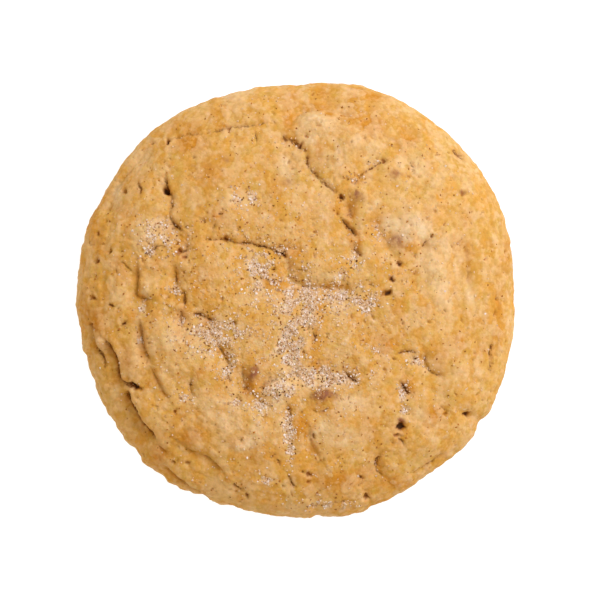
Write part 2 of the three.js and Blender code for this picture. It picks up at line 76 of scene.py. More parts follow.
# Cracks of the top: width, depth, sag of both sides before SAG_SCALE, and a few points of the path
CRACKS = {
    "north_hook": (0.8, 0.6, 0.5, [
        (-2.3, 30.3), (-2, 29.3), (-0.6, 28.9), (0.6, 28.2), (1.6, 27.3), (2.1, 26.4)]),
    "north_east_run": (0.6, 0.45, 0.6, [
        (1.9, 26.8), (2.2, 25.2), (2.9, 23.4), (4.1, 22.3), (5.2, 21.1), (6.6, 19.9), (7.8, 19)]),
    "north_plate_edge": (0.8, 0.12, 0.8, [
        (10.5, 33), (7.7, 34.4), (4.5, 35), (1.5, 34.6), (-0.2, 33), (-1.2, 31.2)]),
    "north_east_cross": (0.9, 0.8, 0.6, [(7.6, 19.5), (8.4, 18.6), (9.2, 17.7)]),
    "north_east_fold": (0.8, 0.25, 0.7, [(9.2, 17.7), (9.8, 16), (10.6, 13.8)]),
    "north_east_gash": (0.6, 0.8, 0.8, [(7.6, 15.2), (8.6, 14.2), (9.6, 13.2), (10.5, 12.4), (11.2, 11)]),
    "east_tail": (0.5, 0.6, 0.6, [(10.4, 10.6), (10.8, 9.4), (11.5, 8.4), (12.6, 7.6)]),
    "east_furrow": (0.8, 0.1, 0.6, [
        (14.3, 15.2), (14.8, 13.6), (15.6, 12), (16.5, 10.3), (17.2, 8.8), (18.2, 7.4)]),
    "west_split": (0.5, 0.65, 0.5, [
        (-16.8, 10.7), (-15.6, 11), (-14.2, 10.8), (-12.6, 11.1), (-11.4, 10.5), (-9.6, 10.2), (-8, 10.1),
        (-6, 9.6), (-4, 9), (-2.3, 8.2), (-1, 8)]),
    "west_split_edge": (0.5, 0.2, 0.4, [(-4.6, 9.7), (-1.8, 9.4), (0.4, 9.1), (2.4, 8.4)]),
    "west_branch": (0.45, 0.4, 0.3, [(-14.4, 14.6), (-14.8, 13), (-15.1, 11.6)]),
    "north_west_split": (0.7, 0.7, 0.5, [
        (-23.5, 23), (-23.6, 21.4), (-23.2, 19.9), (-22.4, 18.3), (-22.6, 16.8), (-23, 15.4)]),
    "north_west_hook": (0.7, 0.55, 0.7, [(-23.1, 15.5), (-22.5, 14.4), (-21.5, 13.3), (-20.2, 12.5)]),
    "north_west_fork": (0.6, 0.75, 0.4, [(-20.3, 12.5), (-19.8, 13.2), (-19.1, 13.7)]),
    "west_bridge": (0.5, 0.5, 0.4, [(-21.4, 8.6), (-19.7, 9), (-18.6, 9.7)]),
    "west_inner_split": (0.6, 0.4, 1.1, [(-22, 6.4), (-21.8, 4.5), (-21.6, 1.9)]),
    "west_inner_notch": (0.6, 0.9, 0.5, [(-19.7, 1.5), (-20.1, 0.2), (-20, -1.4)]),
    "west_inner_leg": (0.7, 0.35, 0.8, [(-20.4, -1.6), (-20.8, -3.4), (-20.3, -5.6)]),
    "west_inner_end": (0.7, 0.8, 0.7, [(-18.9, -2.5), (-17.4, -2.7), (-16.2, -3.2), (-14.8, -4.4)]),
    "west_plate_edge": (0.9, 0.3, 0.9, [
        (-28.6, 6.6), (-28.7, 4), (-28.8, 2), (-28.8, 0.6), (-27.5, 0.3), (-25.6, 0.1)]),
    "west_nick": (0.7, 0.95, 0.4, [(-32, -5.2), (-31.2, -4.3), (-30.3, -3.6)]),
    "south_west_furrow": (1, 0.28, 0.9, [
        (-28.4, -3.4), (-28.1, -5.6), (-27.6, -8.4), (-27, -10.1), (-26.4, -11.7)]),
    "south_west_fade": (0.8, 0.18, 0.7, [(-26.4, -11.7), (-25.4, -14), (-24.2, -16.3), (-23, -18.3)]),
    "foot_west": (0.8, 0.5, 0.8, [(-37.4, -3.6), (-37, -6.3), (-36.3, -9), (-35.2, -11), (-34.7, -13.2)]),
    "foot_middle": (0.9, 0.9, 1, [
        (-34.7, -7.2), (-33.5, -9.4), (-32.6, -11.1), (-32.5, -12.8), (-32, -14.5), (-30.9, -15.4),
        (-29.5, -15.7)]),
    "foot_south": (1.6, 1.4, 1.3, [
        (-30.6, -16.4), (-30.8, -18), (-29.9, -19.6), (-29, -21), (-27.9, -22.8), (-26.6, -24.4),
        (-25.3, -25.7)]),
    "foot_tail": (0.6, 0.25, 0.5, [(-25.3, -26), (-24, -27.6), (-23.4, -29.6)]),
    "foot_end": (0.7, 0.2, 0.8, [
        (-20.6, -26.3), (-19.1, -27.7), (-16.4, -28.6), (-14.6, -30), (-13, -31.6)]),
    "chip_cave": (0.7, 0.4, 0.8, [(-14.4, -7.4), (-13.4, -9.3), (-12.6, -10.7), (-11.4, -12.6)]),
    "chip_fork": (0.8, 0.35, 1.1, [(-9.5, -11.6), (-9.4, -14), (-8.9, -15.8), (-7.8, -16.8)]),
    "chip_arm": (0.6, 0.35, 0.8, [
        (-1.9, -14.3), (-3.7, -14.5), (-4.6, -14.9), (-5.5, -15.5), (-7.4, -16.4)]),
    "centre_lip": (1, 0.18, 0.7, [(0.9, 2.3), (3.4, 2.3), (6, 1.9), (10.5, 1.8)]),
    "centre_edge": (0.8, 0.12, 0.9, [
        (-1.4, 8), (-1.3, 6.2), (-1.1, 4.2), (0.3, 2.9), (2.4, 2.2), (4.4, 1.9)]),
    "centre_line": (0.45, 0.35, 0.4, [(-1.2, 4.3), (-0.6, 5), (0.6, 5.4), (2, 5.3), (3, 4.6)]),
    "south_split": (0.5, 0.7, 0.4, [(-1.2, -19.4), (-1, -20.4), (-0.6, -21.6)]),
    "south_dash": (0.6, 0.6, 0.2, [(0.7, -22.4), (1.7, -21.6)]),
    "south_valley": (0.8, 0.05, 0.6, [(2.4, -23), (2.7, -25), (3.2, -27), (4.4, -28.6)]),
    "south_east_slit": (0.9, 0.95, 0.6, [(18.8, -14.9), (19.6, -15.6), (20.2, -16.5), (21, -17.4)]),
    "pit_tail": (0.8, 0.6, 0.3, [(18.2, -25.1), (19.3, -25.7), (19.8, -26.9)]),
    "south_east_bowl": (0.5, 0.4, 0.7, [
        (23.4, -9.6), (23.6, -11), (24, -12.2), (24.9, -13.4), (26.1, -13.7), (27.2, -13.6)]),
    "south_bowl": (0.6, 0.5, 0.7, [
        (16.4, -28.3), (15, -29), (14.7, -30.3), (15.2, -31.5), (16.4, -32.7)]),
    "south_fork": (0.6, 0.6, 0.3, [(11.3, -31.5), (12.3, -32.6), (13, -32.3)]),
    "south_crease": (0.5, 0.3, 0.4, [(20.5, -32.3), (24, -30.2), (27.6, -27.5)]),
    "north_west_crease": (0.5, 0.3, 0.25, [
        (-23.2, 28.9), (-20, 30), (-16, 30.3), (-12.3, 31.2), (-8, 31.7), (-4.6, 32.4)]),
    "rim_groove": (0.8, 0.18, 0.7, [(-35, 14.8), (-34, 18), (-32.2, 21.7), (-29.8, 24.6), (-26.6, 28.2)]),
    "east_crease": (0.8, 0.2, 0.4, [(30.6, 10.2), (31.3, 6), (31.7, 1)]),
    "centre_slit": (0.6, 0.6, 0.4, [(3, -5.4), (3.4, -6.6), (3.6, -8)]),
    "lower_slit": (0.5, 0.6, 0.3, [(4, -10.6), (4.5, -12)]),
    "south_west_arc": (0.6, 0.35, 0.6, [(-18.5, -13.4), (-19.2, -15.3), (-18.9, -16.9), (-18, -18)]),
    "rim_seam": (0.7, 0.6, 0.8, [
        (-24, -30), (-22.2, -32.2), (-19.9, -34.1), (-17.3, -35.5), (-15.8, -36.2)]),
    "notch_crack": (0.4, 0.4, 0.3, [(25.7, -18.9), (27.2, -20), (28.6, -20.7)]),
    "notch_tail": (0.5, 0.45, 0.3, [(29.8, -20.2), (31.3, -21)]),
    "north_west_mark": (0.6, 0.6, 0.4, [(-28.9, 21.6), (-28.2, 20.4), (-28.5, 18.7)]),
    "centre_mark": (0.8, 0.85, 0.4, [(8.6, -12.9), (9.7, -13.7), (10.5, -14.5), (11.6, -14.8)]),
}

# Cracks with a step: the plate on the left of the path stays high right up to it
STEPS = {
    "foot_west", "foot_middle", "foot_south", "foot_end", "rim_seam", "west_plate_edge",
    "south_west_furrow", "south_west_fade", "north_west_split", "north_west_hook", "south_valley", "chip_arm",
}

# Fainter creases, all of one width, depth and sag
CREASES = [
    [(10.4, 20.6), (12, 22.6), (14.4, 24.2), (16.8, 25.4)], [(-17.4, 14.8), (-16.1, 14)],
    [(-14, 15.4), (-13, 15.5)], [(-31.7, 6.9), (-30.7, 6.1), (-29.9, 4.9)],
    [(-27.6, 7.9), (-26, 9), (-24.9, 9.7), (-23.4, 9.7)], [(22.7, 9.3), (24.4, 11.3)],
    [(13.1, 2.9), (14.4, 2.4)], [(18.1, -10), (19.8, -9.4), (21, -9.3), (22.1, -9.8)],
    [(12.1, -33.1), (11.2, -34.1)], [(-3.3, -28.8), (-2.7, -30.1)], [(-1.3, -31.8), (0, -34.6)],
    [(28.4, 27.4), (29.7, 26.4), (31, 24.9)], [(20.6, 25.3), (21.4, 24.2), (21.5, 22.7)],
    [(13.7, -2.5), (14.2, -3.9)], [(-7.3, 30.6), (-7, 28.4)], [(-34.1, -0.9), (-32.9, -1.2)],
    [(0.8, -4.6), (1.7, -4.5), (2.3, -3.6)], [(35.8, -8), (35.7, -11), (35.5, -13.6)],
    [(-11.6, -33.4), (-9.4, -34.8)], [(2.8, -20), (4.5, -20.4), (6.1, -19.5)],
]
CREASE_WIDTH = 0.45
CREASE_DEPTH = 0.45
CREASE_SAG = 0.35

# How the crust sags beside cracks and creases
SAG_SCALE = 1.65  # real sag for each millimetre given above
SAG_RUN_LEFT = 1.5  # how far the sag reaches on the left of a path
SAG_RUN_RIGHT = 3.2  # and on its right
STEP_RUN = 0.5  # how far it reaches on the left of a step
SAG_ENDS = (-1.5, 2.5)  # distances from a path's end at which the sag starts and is full

# How open cracks and creases are along their paths
CRACK_TAPER = 1.6  # length over which a crack closes at each end
CREASE_TAPER = 0.6  # and a crease
BLUNT_END = 0.3  # how far past its end a crack would be shut
OPENING_MIDDLE = 0.8
OPENING_SWING = 0.7
OPENING_SIZE = 1.8  # length of the stretches that are open or nearly shut
OPENING_LEAST = ((0.7, 1.8), (0.15, 0.7))  # widths of a narrow and a wide crack, and the least for each
OPENING_MOST = 1.2
OPENING_STRIDE = 7.3  # makes one crack's opening unlike the next one's

# How cracks and creases look across their paths
CRACK_REACH = 8  # how far from its path a crack is worked out
CURVE_SPACING = 0.4  # spacing of the points along a path's curve
CORE_SHARE = 0.34  # half the width of a crack's slot, as a share of its own width
LINE_SHARE = 0.28  # half the width of the painted shadow line in it, as a share of its own width
LINE_LIMIT = 4.0  # how far from the line its distance is kept, in half widths of the line
DARK_DEPTH = 0.9  # depth from which a crack's painted shade is as dark as can be
SEAM_REACH = 0.7  # how far the browning and painted shade at a crack's edge reach
SHOULDER_DEPTH = 0.3  # share of the depth that the shoulder on the low side takes
SHOULDER_SPREAD = 2.4  # how far the shoulder reaches, in widths of the crack
CRACK_WANDER = [(1.2, 0.2), (0.5, 0.15)]  # size and reach of the bends that make cracks ragged

# Plates of crust and chips under it, as low domes, and a hollow: x, y, half width, half height, rise
MOUNDS = [
    (-20.3, 9.6, 1.8, 2.2, -0.5), (-3.2, -16.4, 2.4, 1.4, 0.5), (-26, 2.6, 2, 2.6, 0.4),
    (-25, -5.6, 1.8, 3, 0.4), (4.4, 32.2, 4, 2.4, 0.7), (-35.8, -7, 0.9, 1.6, 0.4),
    (-4.6, -12.9, 2.2, 1.2, 0.5), (10.8, 29, 2.5, 2.2, 0.5), (-11.5, 17.2, 2.9, 3.6, 0.5),
    (-26.9, 12.5, 2.9, 2.5, 0.7), (21.2, 14.1, 2.5, 2.9, 0.7), (25.7, 5.1, 2.5, 5.4, 0.6),
    (-32, 1.8, 2.2, 4, 0.5), (-22.3, -6.5, 3.3, 4, 0.6), (-29.1, -10.5, 1.8, 3.6, 0.5),
    (-3.7, -16, 3.3, 2.2, 0.7), (4.9, -14.1, 3.3, 1.1, 0.5), (-8.2, -22.7, 6.2, 3.6, 0.6),
    (9, -22.7, 3.6, 4, 0.7), (-27.1, -20.3, 2.2, 2.9, 0.5), (-14.2, 4.5, 4.4, 4, 0.4),
    (-34.5, -15.4, 1.5, 3.3, 0.3), (10.8, -9.1, 2.5, 1.8, 0.4), (23.5, -25.4, 4, 2.5, 0.4),
    (29, -13.6, 2.9, 3.3, 0.3), (23.5, -3.6, 1.8, 2.9, 0.3), (6.3, 15.4, 2.5, 3.3, 0.3),
    (-4.6, -32.7, 3.3, 2.2, 0.3), (17.4, 23.2, 2.2, 1.8, 0.5), (-7.8, -14.1, 1.5, 2.2, 0.5),
    (4.7, -17.2, 2, 1.5, 0.5), (11.2, 18.9, 1.5, 1.6, 0.4),
]
MOUND_SCALE = 1.2  # real rise for each millimetre given above

# Holes: x, y, radius. Their depth goes with their radius.
PITS = [
    (-23.6, 19.8, 0.85), (31.2, -20.9, 0.65), (13, -36, 0.6), (30.3, 19.2, 0.45), (-36.2, 7, 0.55),
    (-36, 12, 0.5), (-23.3, 28.7, 0.65), (-12.3, 31.3, 0.45), (-22.2, -29.4, 0.45), (-31.4, 19.8, 0.45),
    (-26.2, 28.6, 0.45), (-8.8, -35.7, 0.55), (2.3, -31.7, 0.5), (2.2, -33.1, 0.4), (3, 37.8, 0.35),
    (18.8, 6.4, 0.65), (17.4, 3.7, 0.65), (16.8, 1.3, 0.75), (15.9, 0.9, 0.5), (18.3, -24.6, 0.5),
    (21.5, 4.7, 0.4), (19.1, -23, 0.9), (0.9, 27.9, 0.6), (8.3, 18.7, 0.4), (7.5, 15.6, 0.45),
    (-30, -15.5, 0.9), (-29, -15.9, 0.75), (-28.1, -16.3, 0.5), (-2, 8.2, 0.7), (-4.2, 3.2, 0.45),
    (-20.2, 7.6, 0.5), (-12.7, 11.1, 0.55), (24.8, 11.5, 0.5), (15.9, 25.2, 0.5), (-37, 0.3, 0.5),
    (-33.5, 8.8, 0.5), (-4.3, 6.4, 0.35), (-4, 5.3, 0.4), (-18.4, 25.7, 0.35), (21.6, 8, 0.4),
    (29.5, 10.1, 0.45), (34.6, 7.4, 0.4), (-22, -20.2, 0.5), (-19.8, -29.8, 0.4), (4.5, -34.7, 0.35),
    (27.3, -20.9, 0.4), (3.2, -24.8, 0.5), (-37.2, -4.5, 0.5), (-20.4, 1.2, 0.45), (-11, -4.4, 0.5),
    (5.7, -6.5, 0.3), (3.6, 12, 0.35), (3, 13.5, 0.3), (-12.2, -14.4, 0.4), (-21, 8.8, 0.5),
    (-1.1, -19.7, 0.5), (36.2, -2.7, 0.4), (32.6, -9.8, 0.35), (17.9, -10.7, 0.35), (-30.5, -17.8, 0.5),
    (-19.1, -15.5, 0.4),
]
PORE_COUNT = 130  # smaller pores, scattered by chance
PORE_RADII = (0.15, 0.4)
PIT_DEPTH_PER_RADIUS = 1.4
PIT_SPREAD = 0.9  # how far out a hole stays deep, as a share of its radius
PIT_WANDER = [(0.9, 0.4), (0.45, 0.25)]  # size and reach of the bends that make pits ragged
BLACK_PIT_RADIUS = 0.72  # radius from which a hole's painted shade is as dark as can be

# Low lumps all over, laid out as a sunflower's seeds
LUMP_COUNT = 110
LUMP_RADIUS = 3.6
LUMP_RISE = 0.2
LUMP_BEAT = 12.9898  # makes one lump's height unlike the next one's
GOLDEN_ANGLE = math.pi * (3 - math.sqrt(5))

# Broken crust: spacing of each layer of plates, how far their levels differ and how deep their joints are
PLATES = [(4.2, 0.2, 0.06), (1.7, 0.1, 0.03)]
PLATE_WARP = [(4.0, 1.6), (1.4, 0.7), (0.5, 0.25)]  # size and reach of the bends of the plates' edges
PLATE_BEVEL = 0.2  # width of the slope between two plates, as a share of their spacing
JOINT_WIDTH = 0.07  # and of the joint between them
CRUMB_GRAIN = [(1.5, 0.14), (0.65, 0.1)]  # size and height of the grain of the skin
SMOOTHEST = 0.45  # share of the crumb in the smoothest fields
FIELD_SIZE = 8  # of the smooth and the rough fields
FIELD_RANGE = (-0.3, 0.3)  # noise at which a field is smoothest and roughest

# Spots scattered over the skin: spacing, share of the places that have one, radius, and height
GLAZE_SPOTS = (0.95, 0.5, 0.34, 0.05)
SPOT_RADII = (0.6, 0.8)  # the smallest spot's share of that radius, and what the largest has more
SPOT_WARP = [(0.5, 0.2)]  # size and reach of the bends of the spots' edges

# Short ticks, the finest cracks of the skin, darkened with painted shade: spacing, half length, half width
# and depth
TICKS = (2.1, 0.7, 0.19, 0.22)

# Wrinkles of the crust along the rim: length and width of one, and how high it stands
WRINKLES = [(5.0, 1.5, 0.16), (2.2, 0.7, 0.09)]
WRINKLE_START = 12  # radius at which they start
WRINKLE_FULL = 30  # and are full

RIM_FADE = 0.93  # share of the radius past which the relief weakens
RIM_RELIEF = 0.7  # what is left of the relief at the rim itself
FOOT_BROWNED_AND_SHADED = 0.5  # how much darker the foot is, partly browning and partly painted shade
FOOT_HEIGHTS = (5.0, 0.5)  # heights at which that starts and is full
BASE_PORES = (2.2, 0.5, 0.8, 0.2)  # spacing, share of the places that have a pore, radius, and depth

# Chips that show at the surface: x, y, half width, half height, and how bare of dough they are
CHIPS = [
    (-7.7, -13.2, 1.2, 1.8, 1), (5.2, -17.2, 2.2, 1.1, 1.1), (19.2, -22, 0.8, 0.8, 1),
    (18.3, 10.6, 1.9, 1.5, 0.65), (11.4, 18.6, 1.5, 1.5, 0.8), (18.2, 22.8, 1.5, 0.9, 0.65),
    (-1.3, 21.4, 1.5, 0.9, 0.5), (-12.3, 25.4, 1.5, 0.8, 0.5), (30.3, 19.4, 0.5, 0.6, 0.7),
    (-21, 8.7, 0.8, 0.8, 0.9), (1.3, 4.6, 1, 0.5, 0.4), (-28.4, 19, 0.5, 0.8, 0.4),
]
CHIP_WARP = [(2.0, 0.6), (0.8, 0.4)]  # size and reach of the bends of the chips' edges

# Where the sugar lies thickest: x, y, half width, half height, and how thick, where 1 hides the crust
SUGAR = [
    (-24.5, 11.8, 3.3, 2.7, 0.5), (-6.6, 5.2, 2.8, 3.4, 0.8), (0.9, -0.9, 3.6, 4.5, 1),
    (9, 0.4, 4.5, 1.8, 0.9), (12.7, -0.9, 1.8, 1.5, 0.6), (10.5, 6.9, 1.8, 1.5, 0.6),
    (8.1, 4.5, 1.1, 1.5, 0.4), (-1, -8.5, 2.3, 3.8, 1.5), (-14, -5.9, 4.5, 2.2, 0.9),
    (-16.4, -8.2, 2.7, 2.2, 0.5), (-12.2, -11.8, 1.5, 2.7, 0.8), (4.6, -14, 4.6, 1.6, 2),
    (-28.3, -8.2, 0.8, 1.8, 0.5), (-3.2, -16.4, 2.7, 1.6, 1), (10.8, -15.1, 1.1, 0.9, 0.6),
    (-6, -19, 1.8, 1.5, 0.7), (-10.7, -18.2, 1.3, 1.1, 0.7), (-20.2, -17.7, 1.2, 1.2, 0.5),
    (-1.3, -23.6, 1.1, 2.5, 1), (-0.9, -27.6, 0.9, 1.8, 0.9), (19.4, -16.7, 0.9, 1.5, 0.9),
    (20.1, -20.3, 1.1, 0.9, 0.8), (22.3, -11.2, 1.5, 1.1, 0.6), (-21.8, 1.8, 1.5, 1.1, 0.6),
    (-27.8, -1.3, 1.5, 1.1, 0.6), (-8.6, 18.4, 3.2, 1.7, 0.55), (-4.9, -32.3, 1.5, 1.1, 0.5),
    (6.3, -37.6, 4.5, 1.5, 0.5), (13.9, 24.9, 1.1, 0.7, 0.35), (10.7, 21.8, 1.5, 0.9, 0.3),
    (-26.5, 8.6, 1.5, 0.7, 0.8), (15, 12.3, 0.9, 1.5, 0.5), (-3.6, 8.2, 2, 1.4, 0.6),
    (-19.2, -4.2, 2, 1.1, 0.6), (15, -9.2, 1.3, 1, 0.4),
]
FURROW_DEPTH = 0.5  # of the furrows that the sugar has gathered in
CLUMP_SIZE = 1.7  # of the clumps that it lies in
CLUMP_RANGE = (-0.35, 0.3)  # noise at which a clump starts and is full
SUGAR_ROUGH_SIZE = 0.65  # of the rough crust under it
SUGAR_ROUGH_RISE = 0.2
GAP_RANGE = (0.1, 0.5)  # depth of that roughness at which the painted shade of a dark gap starts and is full

# Browner and paler fields of crust, partly its own tone and partly painted shade and painted light: x, y,
# half width, half height, and strength. Past 1, more of it is full.
BROWNED_AND_SHADED = [
    (-0.9, 8.8, 1.7, 1.5, 1.6), (-4.7, 3, 1.1, 1.1, 1.6), (-3.1, 3.2, 1.7, 1.8, 1),
    (10.9, 10.9, 1.2, 1.5, 1.8), (11.6, 21.8, 2, 1.1, 0.9), (-35.8, -4.3, 1.2, 2.8, 1.8),
    (-20.3, -2.9, 1.4, 2.1, 1.5), (-15.2, -4.6, 1.6, 1.2, 1.8), (25.5, -20.6, 1.8, 1.5, 1.5),
    (20.3, -15.6, 1.5, 1.6, 1.4), (15.9, -8.1, 1.9, 1.8, 1.8), (13.9, 31.4, 2.5, 1.9, 2),
    (-19, 28.5, 2.8, 1.8, 1.8), (-18.9, -24.8, 2.5, 1.5, 1.6), (-1.2, 32.6, 1.1, 2.8, 1.3),
    (-8.3, -15.9, 1.1, 1.4, 1.9), (29.5, -7.8, 1.3, 1.2, 1.8), (-27.9, -8, 0.9, 2.6, 1.2),
    (1.1, -23.3, 1.3, 2.4, 1.6), (-25.4, 6.4, 1.1, 2, 0.8), (8.2, -14.3, 0.9, 1, 0.9),
    (3.8, -0.6, 0.9, 2.4, 0.9), (-13.4, 31.6, 1.4, 0.9, 0.9), (-26.9, -15.4, 0.9, 1, 1.1),
    (-35.2, 9, 1.4, 1.6, 0.8), (-24.4, 15.6, 1.4, 1, 0.8), (6.1, 33.6, 1.2, 1, 1.2),
    (7, 16.4, 1.2, 1.4, 0.8), (-20.3, 7.8, 0.9, 1, 1.1), (-21, -5.8, 1.1, 0.9, 0.9),
    (23.8, 15.6, 0.9, 2, 0.8), (4.4, 27.2, 0.8, 1.6, 0.9), (24.6, -22.6, 1.4, 1.2, 0.8),
    (-30.6, -10.6, 1.1, 2, 1.3), (4, 35.6, 4, 1.2, 0.9), (-22.6, 12.6, 1, 2, 0.7),
    (37, -5.6, 1.5, 3, 0.7), (33.4, -9.2, 1.2, 1.4, 0.8), (35.6, 21.6, 1.5, 3, 0.7), (38.5, 9, 1, 4, 0.7),
    (13, -31.5, 2.2, 1.1, 1.2), (3.4, -27, 1.2, 1.6, 0.8), (5.4, 38.3, 2.5, 1.2, 1),
    (13, 37, 5, 1.5, 1.1), (-19, 31, 3, 1.8, 0.9), (31.2, 14.5, 1.4, 1.6, 0.9), (29.3, 10.2, 1.2, 2, 0.9),
    (3.6, -7, 0.9, 3, 0.8), (-5.5, -11.2, 1.4, 0.9, 0.9), (34.5, -4, 2.6, 1.5, 0.7),
    (-20.7, -20.9, 1.8, 1.2, 0.7), (18, -33.2, 4, 1.2, 1.1), (2.7, -33, 1, 3, 0.8),
    (12, 33.3, 4.5, 2.4, 1), (20.5, 29, 1.8, 1.6, 1.1), (-0.7, 29.6, 0.8, 0.7, 1),
    (-0.9, 36.8, 1.6, 2, 1.2), (-16, 23, 3.3, 3, 1), (-4, 20.2, 2, 1.4, 0.7), (-13.5, 34, 2, 1.5, 0.6),
    (-22, 31, 2.2, 1.6, 0.7), (-29.4, 21.8, 2.2, 2.5, 0.5), (-31.8, 16, 2.5, 2.2, 0.5),
    (-36.5, 13, 1.5, 3, 0.6), (-14.3, 15.2, 1.5, 1.6, 1.1), (-16.4, 3.5, 2.2, 5, 0.6),
    (-20, 11, 1.8, 1.8, 0.7), (-32, 5.4, 1.4, 2.2, 0.7), (-17.5, -13.2, 1.1, 1.1, 1),
    (-38, -2.5, 1.2, 2.5, 1), (5, 2.2, 4.2, 0.9, 1), (-0.6, 5.6, 1.6, 1.6, 0.6), (10.1, 16, 1, 2.6, 1),
    (14.9, 14, 1, 1.4, 1.1), (20.6, 9.4, 1.6, 1.2, 1), (-0.4, 2, 1.1, 0.9, 1.3), (-29.8, -2.8, 1, 1, 1.1),
    (31.2, 8, 1.2, 3.4, 0.7), (36.8, -1, 1.3, 6, 1), (18.6, -1.5, 1.3, 1.8, 0.8),
    (23.2, -9.8, 0.8, 1.5, 1), (26.5, -10.5, 2.2, 2.6, 0.7), (23.8, -1.4, 1.3, 1.2, 0.9),
    (18.6, -24.2, 1.5, 2, 1), (13, -22.5, 2.2, 2.7, 0.8), (4, -19.2, 2, 1.2, 0.8),
    (4.4, -11.7, 2.2, 1.1, 1.2), (9.4, -12.4, 1.5, 1, 0.6), (8, -33, 4.2, 1.8, 1.4),
    (-6.4, -28, 2.8, 2.2, 0.7), (-24.8, -28.6, 1.6, 2.6, 1.3), (-25, -14.5, 1.2, 2, 0.6),
]
PALE_AND_LIT = [
    (-2.6, -15.9, 2, 1.4, 3.1), (-3.8, -17.3, 2.1, 1.4, 2.6), (5.2, -14.5, 2.9, 0.9, 2.8),
    (3.2, -24.6, 1.2, 1.6, 1), (16.7, 13.7, 1.1, 1.7, 1.5), (-9.4, -25.7, 3.4, 1.7, 1.4),
    (-33, 19.4, 1.2, 2.5, 1), (19.2, 23.6, 1.4, 1.1, 0.8), (3.4, 29, 2, 1.3, 0.9),
    (-18.6, -19.4, 1.6, 1.2, 0.8), (-27, 1.6, 0.9, 1.2, 0.7), (-24.4, -14.6, 0.8, 2, 0.7),
    (-22.2, 16, 0.8, 2.4, 0.7), (6.4, 4.2, 2.4, 0.9, 0.6), (-15.6, -21, 1.5, 2.6, 0.8),
    (-6, -23.6, 3, 2, 0.7), (31.8, 0.8, 1.1, 2, 0.8), (-12, 36.8, 2.6, 1.5, 0.7),
    (-28.4, 26, 2.2, 2, 0.6), (24.6, 5.4, 1.6, 3, 0.7), (5, 25.5, 2, 2.4, 0.5),
    (-25.6, -4.4, 1.2, 1.6, 0.7), (18.2, 13.2, 1.8, 1.6, 1.2), (14.5, 17.2, 1, 2, 0.8),
    (13.6, 8.4, 1.2, 1, 0.8), (30, -13, 2.4, 1.8, 0.5), (22.8, -20.9, 1.8, 1.6, 0.7),
    (-28.2, 5.6, 0.8, 1.6, 0.8), (5.4, -22.7, 1.8, 1.8, 0.9), (4.2, 32.3, 3.8, 2.4, 1),
    (11.7, 28.5, 2.4, 2.4, 1), (-1.3, 24.5, 1.6, 2.9, 1), (7.2, 25.4, 2.2, 2, 0.7),
    (21.2, 12.5, 3.1, 2.6, 1.7), (25.5, 8, 3, 4, 0.8), (27, 2, 2.4, 5, 0.8), (22.5, 24, 3, 2.5, 0.6),
    (3, 16.5, 2.5, 2.5, 0.5), (-10.7, 17.6, 2.5, 3.3, 0.5), (-26.9, 12.3, 2.9, 2.5, 0.6),
    (-3, 11.6, 2, 1.5, 0.5), (-20.9, -7.4, 4.7, 2.7, 0.8), (-31.8, 0, 1.6, 2, 0.5),
    (-35.6, -7, 0.9, 1.6, 0.8), (-1.1, -7.6, 2, 2.6, 0.8), (-6.7, -7, 2, 2, 0.6),
    (0.8, -13.2, 3.4, 1.6, 1), (-12.7, -19, 2.2, 2.2, 0.7), (-12, -22.5, 3.5, 2.5, 0.6),
    (-2.2, -24, 1.8, 2.9, 0.8), (10.5, -18.8, 3, 1.8, 1), (7.2, -1.6, 1.4, 1.6, 0.7),
    (8.7, -25, 2.6, 2, 1), (-12.5, -34.5, 4, 2, 0.5), (-1, -38, 5, 1.5, 0.5),
    (-33.2, -17.8, 1.1, 2.2, 0.5), (-28.9, -10.5, 1.5, 3.3, 0.4),
]

# Loose grains: how many, and their size range in millimetres
SUGAR_PER_PATCH_MM2 = 19
SUGAR_SPRINKLED = 40
SUGAR_DUSTED = 11000  # tried over the top, of which those in clumps and near the middle stay
SUGAR_SIZES = (0.22, 0.4)
DUST_SIZES = (0.15, 0.32)
DUST_MIDDLE = (-2, -4)
DUST_SPREAD = 20.8
DUST_LEAST = 0.08  # share of the dust that stays far from the middle
SPICE_PER_PATCH_MM2 = 1.7
SPICE_DUSTED = 1700
SPICE_SPRINKLED = 500
SPICE_SIZES = (0.3, 0.6)
PATCH_SPREAD = 0.62  # of a patch's grains, as a share of its half width and half height
SPRINKLED_REACH = 0.95  # share of the radius that sprinkled grains reach
GRAIN_REACH = 0.97  # and that any grain may reach
GRAIN_STRETCH = (0.7, 1.3)  # range of a grain's length, width and height, as shares of its size
CORNER_REACH = (0.75, 1.15)  # range of how far its corners stand out

# Shades of the grains along their rows of colours
SUGAR_SHADES = (0, 1)
DUST_SHADES = (0.4, 0.75)
PATCH_SPICE_SHADES = (0.4, 1)
LOOSE_SPICE_SHADES = (0, 0.6)

# Shapes of the grains: corners, faces, thickness, and how far the middle stands off the skin, in sizes
CUBE_CORNERS = np.array(list(itertools.product((-0.5, 0.5), repeat=3)))
CUBE_FACES = np.array([(0, 1, 3, 2), (4, 6, 7, 5), (0, 4, 5, 1), (2, 3, 7, 6), (0, 2, 6, 4), (1, 5, 7, 3)])
DIAMOND_CORNERS = np.array([(0.5, 0, 0), (-0.5, 0, 0), (0, 0.5, 0), (0, -0.5, 0), (0, 0, 0.5), (0, 0, -0.5)])
DIAMOND_FACES = np.array([
    (0, 2, 4), (2, 1, 4), (1, 3, 4), (3, 0, 4), (2, 0, 5), (1, 2, 5), (3, 1, 5), (0, 3, 5),
])
SUGAR_SHAPE = (CUBE_CORNERS, CUBE_FACES, 1.0, -0.2)
SPICE_SHAPE = (DIAMOND_CORNERS, DIAMOND_FACES, 0.6, -0.05)
